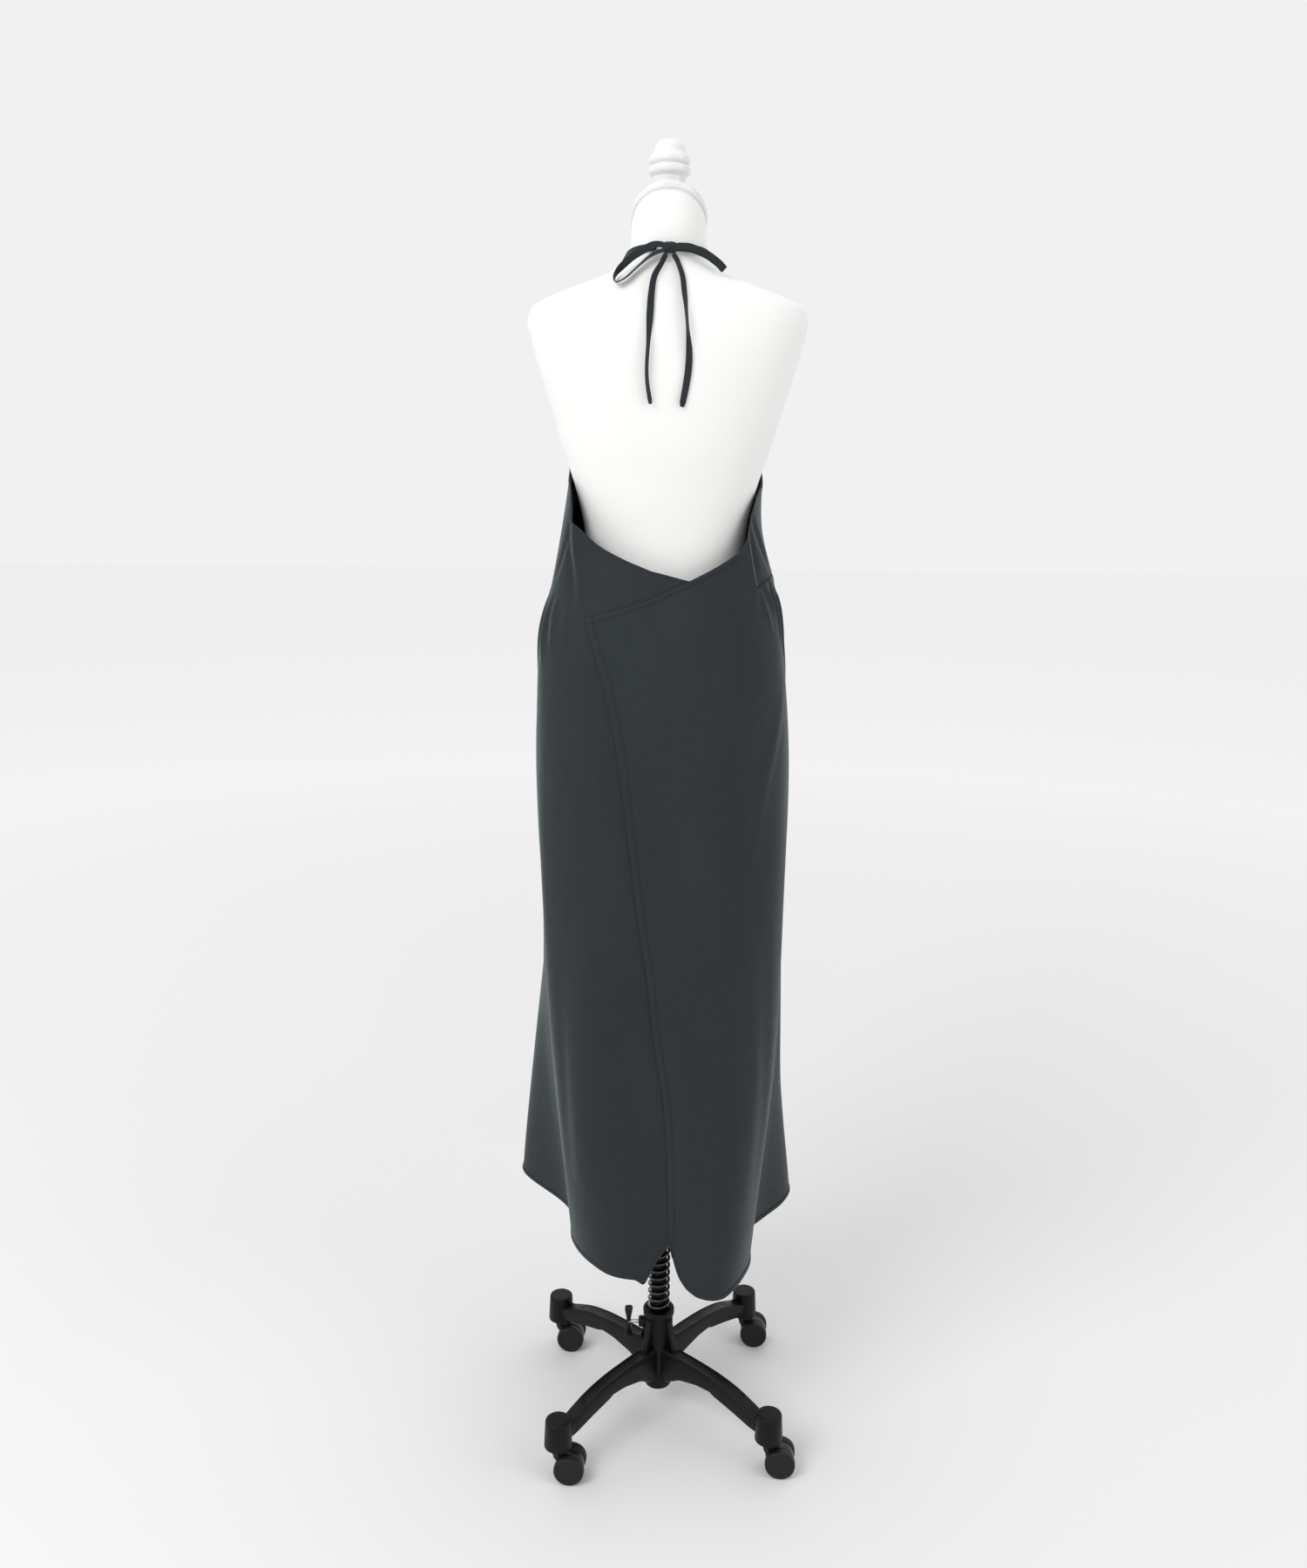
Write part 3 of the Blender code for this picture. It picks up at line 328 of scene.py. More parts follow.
# a ramp by distance from the stand paints shade on the floor near it and light far off
distance = texture(floor_paper, "Gradient", None, "Object", (0.2, 0.2, 0.2))
distance.node.gradient_type = "SPHERICAL"
vary(floor_paper, distance, "Base Color", FAR_FLOOR_PAINTED_LIGHT, NEAR_FLOOR_PAINTED_SHADE, 0.0, 0.8)
fibres = texture(floor_paper, "Noise", 40.0, "Object", Detail=4.0)
relief(floor_paper, (fibres, 0.0001))
floor.data.materials.append(floor_paper)
floor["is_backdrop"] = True
world = bpy.data.worlds.new("room")
world.use_nodes = True
world.node_tree.nodes["Background"].inputs["Color"].default_value = (1.0, 1.0, 1.0, 1.0)
direction = world.node_tree.nodes.new("ShaderNodeTexCoord")
parts = world.node_tree.nodes.new("ShaderNodeSeparateXYZ")
total = world.node_tree.nodes.new("ShaderNodeMath")
world.node_tree.links.new(direction.outputs["Generated"], parts.inputs["Vector"])
for slot, (axis, start, end, low, high) in enumerate((("Y", -0.4, 0.6, IN_FRONT, BEHIND), ("Z", 0.45, 0.9, 0.0, OVERHEAD))):
    span = world.node_tree.nodes.new("ShaderNodeMapRange")
    for key, value in zip(("From Min", "From Max", "To Min", "To Max"), (start, end, low, high)):
        span.inputs[key].default_value = value
    world.node_tree.links.new(parts.outputs[axis], span.inputs["Value"])
    world.node_tree.links.new(span.outputs["Result"], total.inputs[slot])
world.node_tree.links.new(total.outputs["Value"], world.node_tree.nodes["Background"].inputs["Strength"])
bpy.context.scene.world = world
bpy.context.scene.view_settings.view_transform = "Standard"
# a row per light: name, place, size in metres, power in watts
LIGHTS = [("key", (-2.2, -2.4, 3.3), 2.0, 80.0), ("fill", (2.8, -1.8, 2.2), 2.0, 22.0)]
for name, at, size, power in LIGHTS:
    lamp = bpy.data.lights.new(name, "AREA")
    lamp.size = size
    lamp.energy = power
    holder = bpy.data.objects.new(name, lamp)
    holder.location = at
    aim = np.array([0.0, 0.0, 0.9]) - np.array(at)
    holder.rotation_mode = "QUATERNION"
    holder.rotation_quaternion = Vector(aim).to_track_quat("-Z", "Y")
    bpy.context.scene.collection.objects.link(holder)
print("lights", [row[0] for row in LIGHTS])

# %% [markdown]
# ## The form's shape
# A dress form is a smooth shell. At each height its outline is a rounded oval: wide is the distance
# from the middle as a share of the half width, deep the same to the front or back, and the two are
# added as powers a little above two, which squares the oval like a rib cage.

# %% Sizes of the form and its outline
GAP = 0.0003
FORM_CENTRE_X = -0.003
# a row per section: height, half width, depth behind the column, depth in front, slant
FORM_SECTIONS = np.array([
    (0.905, 0.146, 0.096, 0.080, 0.0), (0.915, 0.155, 0.104, 0.088, 0.0), (0.940, 0.161, 0.111, 0.093, 0.0),
    (1.000, 0.164, 0.117, 0.098, 0.0), (1.070, 0.160, 0.116, 0.100, 0.0), (1.150, 0.139, 0.100, 0.098, 0.0),
    (1.210, 0.118, 0.082, 0.092, 0.0), (1.260, 0.107, 0.073, 0.088, 0.0), (1.320, 0.107, 0.073, 0.095, 0.0),
    (1.385, 0.1205, 0.082, 0.112, 0.0), (1.435, 0.137, 0.090, 0.124, 0.0), (1.480, 0.1505, 0.094, 0.121, 0.0),
    (1.530, 0.166, 0.095, 0.106, 0.0), (1.570, 0.177, 0.092, 0.090, 0.0), (1.598, 0.1805, 0.084, 0.077, 0.0),
    (1.612, 0.172, 0.079, 0.071, 0.0), (1.625, 0.145, 0.074, 0.065, 0.0), (1.638, 0.108, 0.069, 0.060, 0.0),
    (1.650, 0.078, 0.064, 0.055, 0.0), (1.664, 0.057, 0.059, 0.050, 0.0), (1.680, 0.050, 0.056, 0.045, 0.0),
    (1.712, 0.0475, 0.058, 0.036, 1.0)])
FORM_SQUARE = 2.25
NECK_CENTRE_Y = -0.011
NECK_SLOPE = math.tan(math.radians(33.0))


def form_size(z):
    """Half width, depth behind and depth in front at each height."""
    return smooth(FORM_SECTIONS[:, 0], FORM_SECTIONS[:, 1:], z)


def form_reach(x, y, z):
    """How far out a point is, as a share of the form's outline at that height."""
    size = form_size(z)
    wide = np.abs(x - FORM_CENTRE_X) / size[..., 0]
    deep = np.abs(y) / np.where(y < 0, size[..., 1], size[..., 2])
    return (wide**FORM_SQUARE + deep**FORM_SQUARE) ** (1 / FORM_SQUARE)


# %% The torso, neck cap and knob
heights = np.unique(np.concatenate([np.linspace(a, b, 9) for a, b in zip(FORM_SECTIONS[:, 0], FORM_SECTIONS[1:, 0])]))
size = form_size(heights)
turn = np.linspace(0.0, 2 * math.pi, 144, endpoint=False)
dx, dy = np.cos(turn)[None, :], np.sin(turn)[None, :]
deep = np.where(dy < 0, size[:, 1:2], size[:, 2:3])
reach = ((np.abs(dx) / size[:, :1]) ** FORM_SQUARE + (np.abs(dy) / deep) ** FORM_SQUARE) ** (-1 / FORM_SQUARE)
x, y = FORM_CENTRE_X + dx * reach, dy * reach
z = heights[:, None] + size[:, 3:4] * NECK_SLOPE * (NECK_CENTRE_Y - y)
torso = tube("torso_shell", np.stack([x, y, z], -1))
dress_up(torso, knit, "upper", ["torso"])
CAP_FOOT = 1.712 + GAP
# a row per ring: radius, height, share of the neck's slant
CAP_PROFILE = [(0.0450, CAP_FOOT, 1), (0.0478, CAP_FOOT + 0.0006, 1), (0.0485, CAP_FOOT + 0.0022, 1),
               (0.0485, CAP_FOOT + 0.0070, 1), (0.0478, CAP_FOOT + 0.0086, 1), (0.0462, CAP_FOOT + 0.0094, 1),
               (0.0440, CAP_FOOT + 0.0096, 1), (0.0434, CAP_FOOT + 0.0102, 1), (0.0428, CAP_FOOT + 0.0118, 1),
               (0.0405, CAP_FOOT + 0.0127, 1), (0.0300, CAP_FOOT + 0.0130, 1)]
cap = turned("neck_cap_disc", CAP_PROFILE, (FORM_CENTRE_X, NECK_CENTRE_Y), 96, NECK_SLOPE, 4)
dress_up(cap, lacquer, "upper", ["neck_cap"])
KNOB_FOOT = CAP_FOOT + 0.0136
KNOB_PROFILE = [(0.0200, KNOB_FOOT, 1), (0.0204, 1.7560, 0), (0.0206, 1.7615, 0), (0.0214, 1.7655, 0), (0.0246, 1.7674, 0),
                (0.0265, 1.7695, 0), (0.0272, 1.7725, 0), (0.0268, 1.7755, 0), (0.0250, 1.7776, 0), (0.0230, 1.7786, 0),
                (0.0228, 1.7794, 0), (0.0246, 1.7804, 0), (0.0262, 1.7822, 0), (0.0266, 1.7850, 0), (0.0256, 1.7880, 0),
                (0.0238, 1.7904, 0), (0.0216, 1.7930, 0), (0.0205, 1.7958, 0), (0.0198, 1.7992, 0), (0.0180, 1.8030, 0),
                (0.0148, 1.8064, 0), (0.0105, 1.8086, 0), (0.0060, 1.8094, 0), (0.0010, 1.8095, 0)]
knob = turned("neck_knob", KNOB_PROFILE, (FORM_CENTRE_X, NECK_CENTRE_Y), 64, NECK_SLOPE, 4)
dress_up(knob, lacquer, "upper", ["finial"])
print("torso", len(torso.data.polygons), "cap", len(cap.data.polygons), "knob", len(knob.data.polygons))

# %% [markdown]
# ## The halter tie
# The straps go round the neck and end in a bow. Each is a flat tape with round edges: a small profile
# carried along a path, turned at each station by the direction in which its width points. The two free
# tails are cords, with a width given at each station.

# %% Tape along a path
STRAP_WIDE = 0.009
TAPE_THICK = 0.0017


def tape(name, path, across, width, thick):
    """A stadium-shaped profile carried along the path, its long side along across."""
    along = np.gradient(path, axis=0)
    along = along / np.linalg.norm(along, axis=1, keepdims=True)
    across = across - (across * along).sum(1, keepdims=True) * along
    across = across / np.linalg.norm(across, axis=1, keepdims=True)
    face = np.cross(along, across)
    turn = np.linspace(0.0, 2 * math.pi, 20, endpoint=False)
    wide = np.sign(np.cos(turn)) * np.abs(np.cos(turn)) ** 0.45
    tall = np.sign(np.sin(turn)) * np.abs(np.sin(turn)) ** 0.75
    width = np.broadcast_to(np.asarray(width, float), (len(path),))[:, None, None]
    ends = np.minimum(1.0, np.minimum(np.arange(len(path)), np.arange(len(path))[::-1]) / 2 * 0.35 + 0.65)
    seam = 1 - 0.16 * np.exp(-((np.abs(wide) - 0.62) / 0.12) ** 2)
    loops = (path[:, None] + across[:, None] * width / 2 * wide[None, :, None] * ends[:, None, None]
             + face[:, None] * thick / 2 * (tall * seam)[None, :, None])
    run = np.concatenate([[0.0], np.cumsum(np.linalg.norm(np.diff(path, axis=0), axis=1))])
    uv = np.stack(np.broadcast_arrays(run[:, None] + 0 * wide, wide * width[:, 0] / 2), -1)
    return tube(name, loops, uv)


def turned_width(along, degrees):
    """Width direction: level across the path in the view from behind, turned toward the back."""
    flat = np.stack([along[:, 2], np.zeros(len(along)), -along[:, 0]], -1)
    flat = flat / np.linalg.norm(flat, axis=1, keepdims=True)
    turn_rad = np.radians(degrees)[:, None]
    return np.cos(turn_rad) * flat + np.sin(turn_rad) * np.array([0.0, -1.0, 0.0])


def back_of_form(x, z):
    """Where the form's back lies at a place seen from behind."""
    size = form_size(z)
    inside = np.clip(1 - (np.abs(x - FORM_CENTRE_X) / size[:, 0]) ** FORM_SQUARE, 0.0, 1.0)
    return -size[:, 1] * inside ** (1 / FORM_SQUARE)


def refine(table, count):
    """More stations on a smooth line through the rows."""
    rows = np.arange(len(table))
    return smooth(rows, table, np.linspace(0, len(table) - 1, count))


# %% The free tails, made as flat cords
# a row per station: right, height, turn of the width toward the back in degrees, width
TAIL_LEFT = np.array([
    (-0.0065, 1.6656, 0, 0.006), (-0.0115, 1.6550, 45, 0.008), (-0.0205, 1.6380, 40, 0.009), (-0.0240, 1.6180, 30, 0.009),
    (-0.0255, 1.5960, 15, 0.009), (-0.0265, 1.5760, 40, 0.009), (-0.0275, 1.5560, 60, 0.009), (-0.0290, 1.5280, 62, 0.009),
    (-0.0280, 1.5080, 60, 0.009), (-0.0240, 1.4840, 55, 0.009)])
TAIL_RIGHT = np.array([
    (0.0022, 1.6655, 0, 0.006), (0.0080, 1.6560, 40, 0.008), (0.0140, 1.6380, 45, 0.009), (0.0165, 1.6180, 45, 0.009),
    (0.0185, 1.6000, 60, 0.009), (0.0208, 1.5750, 65, 0.009), (0.0230, 1.5480, 30, 0.009), (0.0225, 1.5280, 15, 0.009),
    (0.0200, 1.5080, 20, 0.009), (0.0150, 1.4810, 35, 0.009)])
LOOP_THICK = 0.0015
for name, table in (("tie_tail_left", TAIL_LEFT), ("tie_tail_right", TAIL_RIGHT)):
    stand_off = 0.0018 + table[:, 3] / 2 * np.sin(np.radians(table[:, 2]))
    y = back_of_form(table[:, 0], table[:, 1] - table[:, 3] / 2) - stand_off
    y[0] = -0.0665
    rows = refine(np.column_stack([table[:, 0], y, table[:, 1], table[:, 2], table[:, 3]]), 90)
    path = rows[:, :3]
    tail = tape(name + "_tape", path, turned_width(np.gradient(path, axis=0), rows[:, 3]), rows[:, 4], LOOP_THICK)
    dress_up(tail, tape_finish, "upper", [name])

# %% The bow's two loops
# a row per station: right, height, back, turn of the width toward the back in degrees, width
LOOP_LEFT = np.array([
    (-0.0080, 1.6758, -0.0665, 0, 0.0065), (-0.0210, 1.6760, -0.0665, 0, 0.0080), (-0.0340, 1.6700, -0.0660, 5, 0.009),
    (-0.0490, 1.6610, -0.0655, 10, 0.009), (-0.0610, 1.6505, -0.0650, 30, 0.009), (-0.0690, 1.6415, -0.0645, 65, 0.009),
    (-0.0705, 1.6345, -0.0642, 85, 0.009), (-0.0665, 1.6310, -0.0642, 80, 0.009), (-0.0560, 1.6365, -0.0646, 72, 0.009),
    (-0.0420, 1.6495, -0.0655, 70, 0.009), (-0.0300, 1.6600, -0.0665, 60, 0.008), (-0.0190, 1.6665, -0.0665, 35, 0.006),
    (-0.0080, 1.6700, -0.0665, 10, 0.005)])
LOOP_RIGHT = np.array([
    (0.0040, 1.6740, -0.0680, 0, 0.008), (0.0200, 1.6735, -0.0675, 0, 0.009), (0.0310, 1.6705, -0.0665, 0, 0.009),
    (0.0450, 1.6650, -0.0645, 0, 0.009), (0.0580, 1.6565, -0.0620, 0, 0.009), (0.0645, 1.6505, -0.0605, 0, 0.009),
    (0.0660, 1.6490, -0.0591, 0, 0.009), (0.0645, 1.6500, -0.0577, 0, 0.009), (0.0580, 1.6560, -0.0588, 0, 0.009),
    (0.0450, 1.6645, -0.0611, 0, 0.009), (0.0310, 1.6700, -0.0630, 0, 0.009), (0.0200, 1.6725, -0.0640, 0, 0.009),
    (0.0040, 1.6725, -0.0645, 0, 0.008)])
LOOP_CLEAR = 0.0014
for name, table in (("bow_loop_left", LOOP_LEFT), ("bow_loop_right", LOOP_RIGHT)):
    lower = table[:, 1] - table[:, 4] / 2
    clear = LOOP_CLEAR + table[:, 4] / 2 * np.sin(np.radians(table[:, 3]))
    path = table[:, [0, 2, 1]]
    path[:, 1] = np.minimum(path[:, 1], back_of_form(table[:, 0], lower) - clear)
    across = turned_width(np.gradient(path, axis=0), table[:, 3])
    if name == "bow_loop_right":
        across = np.concatenate([across[:6], across[5:6], across[5::-1]])
    flips = np.concatenate([[1.0], np.cumprod(np.sign((across[1:] * across[:-1]).sum(1)))])
    rows = refine(np.column_stack([path, across * flips[:, None], table[:, 4]]), 110)
    bow = tape(name + "_tape", rows[:, :3], rows[:, 3:6], rows[:, 6], LOOP_THICK)
    dress_up(bow, tape_finish, "upper", [name])

# %% The straps round the neck
# a row per station: angle from the back, height
STRAP_RUN = np.array([(15.0, 1.6735), (32.0, 1.6735), (50.0, 1.6725), (68.0, 1.6705), (85.0, 1.6675), (100.0, 1.6630),
                      (112.0, 1.6570), (121.0, 1.6490), (128.0, 1.6390), (133.0, 1.6270), (136.0, 1.6150),
                      (139.2, 1.5975)])
STRAP_CLEAR = 0.0020


def on_form(turn_deg, height, out):
    """A point of the form's surface at an angle from the back, moved out, and the way out."""
    dx, dy = np.sin(np.radians(turn_deg)), -np.cos(np.radians(turn_deg))

    def point(at):
        reach = form_reach(FORM_CENTRE_X + dx, dy, at)
        return np.stack([FORM_CENTRE_X + dx / reach, dy / reach, at], -1)

    up = point(height + 0.002) - point(height - 0.002)
    outward = np.cross(np.stack([-dy, dx, np.zeros_like(dx)], -1), up)
    outward = outward / np.linalg.norm(outward, axis=1, keepdims=True)
    return point(height) + outward * out, outward


run = refine(STRAP_RUN, 90)
for mirror, side in ((1.0, "right"), (-1.0, "left")):
    out = np.full((len(run), 1), 0.0018 / 2 + STRAP_CLEAR)
    for _ in range(10):
        path, outward = on_form(run[:, 0] * mirror, run[:, 1], out)
        across = np.cross(np.gradient(path, axis=0), outward)
        across = across / np.linalg.norm(across, axis=1, keepdims=True)
        under = [path + across * STRAP_WIDE * k - outward * 0.0009 for k in (-0.5, 0.0, 0.5)]
        short = [STRAP_CLEAR + np.hypot(p[:, 0] - FORM_CENTRE_X, p[:, 1]) * (1 - form_reach(*p.T)) for p in under]
        out = out + 0.6 * np.maximum(0.0, np.max(short, axis=0))[:, None]
    strap = tape("neck_strap_" + side + "_tape", path, across, STRAP_WIDE, TAPE_THICK)
    dress_up(strap, tape_finish, "upper", ["neck_strap_" + side])

# %% The knot, a soft block that the tape wraps twice
KNOT_AT = np.array([-0.0020, -0.0645, 1.6730])
around = np.linspace(0.0, 2 * math.pi, 48, endpoint=False)[None, :]
depth = np.linspace(0.0, 1.0, 28)[:, None]
swell = np.sin(math.pi * np.clip(depth, 0.03, 0.97)) ** 0.45
bulge = (np.abs(np.cos(around)) ** 3 + np.abs(np.sin(around)) ** 3) ** (-1 / 3)
wrap = 1 - 0.09 * np.exp(-(((np.cos(around) * 0.8 + depth * 1.3 - 0.65)) / 0.10) ** 2)
knot_x = KNOT_AT[0] + 0.0096 * swell * bulge * wrap * np.cos(around)
knot_z = KNOT_AT[2] + 0.0070 * swell * bulge * wrap * np.sin(around)
knot_y = -0.0583 - 0.0125 * depth + 0 * around
knot_uv = np.stack(np.broadcast_arrays(around * 0.008, depth * 0.0125), -1)
knot = tube("bow_knot_wrap", np.stack([knot_x, knot_y, knot_z], -1), knot_uv)
dress_up(knot, tape_finish, "upper", ["bow_knot"])
print("bow and straps made")

# %% [markdown]
# ## The dress as one drape
# At each height the dress is a closed loop through twelve named points. A share of the way round says
# where a point lies on it: nothing at the middle of the back, a quarter at the right side, a half at
# the front. Each piece of the dress is a patch of shares and heights, so neighbours fit by themselves.

# %% The loops of the dress
WALL = 0.0018
CLEAR = 0.0018
AROUND = 1.03
LOOP_AT = (0.0, 0.085, 0.170, 0.235, 0.335, 0.420, 0.500, 0.580, 0.665, 0.765, 0.830, 0.915)
LOOP_HEIGHTS = (0.290, 0.560, 0.790, 1.070, 1.190, 1.265, 1.335, 1.400, 1.600)
# a row per height, a pair per named point: its place to the right and to the front
DRESS_LOOPS = np.array([
    [(0.000, -0.122), (0.078, -0.145), (0.129, -0.062), (0.134, 0.025), (0.206, 0.140), (0.115, 0.190),
     (0.000, 0.180), (-0.120, 0.195), (-0.220, 0.150), (-0.133, 0.042), (-0.126, -0.035), (-0.075, -0.115)],
    [(0.000, -0.130), (0.090, -0.130), (0.150, -0.070), (0.157, 0.000), (0.173, 0.085), (0.105, 0.150),
     (0.000, 0.160), (-0.110, 0.152), (-0.187, 0.100), (-0.160, 0.010), (-0.144, -0.064), (-0.088, -0.122)],
    [(0.000, -0.135), (0.088, -0.128), (0.152, -0.078), (0.166, -0.010), (0.157, 0.075), (0.095, 0.128),
     (0.000, 0.140), (-0.098, 0.130), (-0.160, 0.080), (-0.169, 0.000), (-0.153, -0.078), (-0.090, -0.126)],
    [(0.000, -0.128), (0.090, -0.116), (0.153, -0.056), (0.167, 0.000), (0.150, 0.072), (0.085, 0.112),
     (0.000, 0.122), (-0.088, 0.113), (-0.156, 0.074), (-0.176, 0.000), (-0.162, -0.060), (-0.096, -0.118)],
    [(0.000, -0.112), (0.088, -0.100), (0.146, -0.042), (0.154, 0.008), (0.136, 0.068), (0.075, 0.103),
     (0.000, 0.112), (-0.080, 0.104), (-0.150, 0.070), (-0.168, 0.005), (-0.160, -0.048), (-0.100, -0.102)],
    [(0.000, -0.098), (0.078, -0.088), (0.132, -0.035), (0.141, 0.010), (0.122, 0.062), (0.068, 0.096),
     (0.000, 0.106), (-0.070, 0.097), (-0.130, 0.064), (-0.152, 0.008), (-0.143, -0.042), (-0.088, -0.092)],
    [(0.000, -0.090), (0.070, -0.082), (0.112, -0.040), (0.124, 0.005), (0.115, 0.065), (0.070, 0.106),
     (0.000, 0.118), (-0.072, 0.106), (-0.122, 0.066), (-0.139, 0.003), (-0.130, -0.050), (-0.088, -0.085)],
    [(0.000, -0.088), (0.066, -0.078), (0.108, -0.038), (0.1235, 0.012), (0.115, 0.075), (0.072, 0.117),
     (0.000, 0.130), (-0.072, 0.117), (-0.118, 0.075), (-0.130, 0.012), (-0.120, -0.040), (-0.080, -0.080)],
    [(0.000, -0.060), (0.060, -0.055), (0.100, -0.030), (0.130, 0.005), (0.110, 0.045), (0.060, 0.068),
     (0.000, 0.078), (-0.060, 0.068), (-0.110, 0.045), (-0.130, 0.005), (-0.100, -0.030), (-0.060, -0.055)]])


def dress(s, z):
    """Plan points at share s and height z: a cubic up the heights, then one round the loop,
    and last a push outward wherever the loop would come closer to the form than it may."""
    s, z = np.broadcast_arrays(np.asarray(s, float), np.asarray(z, float))
    shape = s.shape
    s, z = s.ravel() % 1.0, z.ravel()
    here = smooth(LOOP_HEIGHTS, DRESS_LOOPS, z)
    knots = np.concatenate([np.array(LOOP_AT[-3:]) - 1, LOOP_AT, np.array(LOOP_AT[:3]) + 1])
    here = np.concatenate([here[:, -3:], here, here[:, :3]], axis=1)
    slopes = np.gradient(here, knots, axis=1)
    i = np.searchsorted(knots, s, side="right") - 1
    k = np.arange(len(s))
    step = (knots[i + 1] - knots[i])[:, None]
    t = ((s - knots[i])[:, None]) / step
    plan = ((2 * t**3 - 3 * t**2 + 1) * here[k, i] + (t**3 - 2 * t**2 + t) * step * slopes[k, i]
            + (3 * t**2 - 2 * t**3) * here[k, i + 1] + (t**3 - t**2) * step * slopes[k, i + 1])
    x, y = plan[:, 0], plan[:, 1]
    reach = form_reach(x, y, np.clip(z, FORM_SECTIONS[0, 0], 1.66))
    need = 1 + CLEAR / np.maximum(np.hypot(x - FORM_CENTRE_X, y), 0.03)
    push = np.where(z > FORM_SECTIONS[0, 0] - 0.03, np.maximum(1.0, need / np.maximum(reach, 1e-6)), 1.0)
    return np.stack([FORM_CENTRE_X + (x - FORM_CENTRE_X) * push, y * push], -1).reshape(shape + (2,))


# %% [markdown]
# ## Gathers and creases
# Cloth that is gathered or leaned on creases in long soft lines. Every one here is listed: where it
# starts and ends, how wide and how high it is, and how far its middle bends away. A ridge is positive, a
# trough negative. Its height falls off like a bell across the line and like a sine along it.

# %% Gathers under the front waist seam and creases all round
# a row per gather: share round, height of its top, reach down, half width as a share, rise
GATHERS = [
    (0.275, 1.255, 0.100, 0.0110, 0.0035), (0.318, 1.255, 0.130, 0.0120, 0.0042), (0.366, 1.255, 0.090, 0.0100, 0.0030),
    (0.407, 1.255, 0.150, 0.0130, 0.0045), (0.455, 1.255, 0.110, 0.0110, 0.0034), (0.498, 1.255, 0.160, 0.0120, 0.0040),
    (0.545, 1.255, 0.100, 0.0120, 0.0036), (0.590, 1.255, 0.140, 0.0110, 0.0045), (0.634, 1.255, 0.090, 0.0120, 0.0032),
    (0.680, 1.255, 0.150, 0.0120, 0.0044), (0.724, 1.255, 0.110, 0.0100, 0.0034), (0.205, 1.250, 0.070, 0.0120, 0.0022),
    (-0.170, 1.235, 0.080, 0.0130, 0.0020), (-0.215, 1.240, 0.090, 0.0120, 0.0024)]
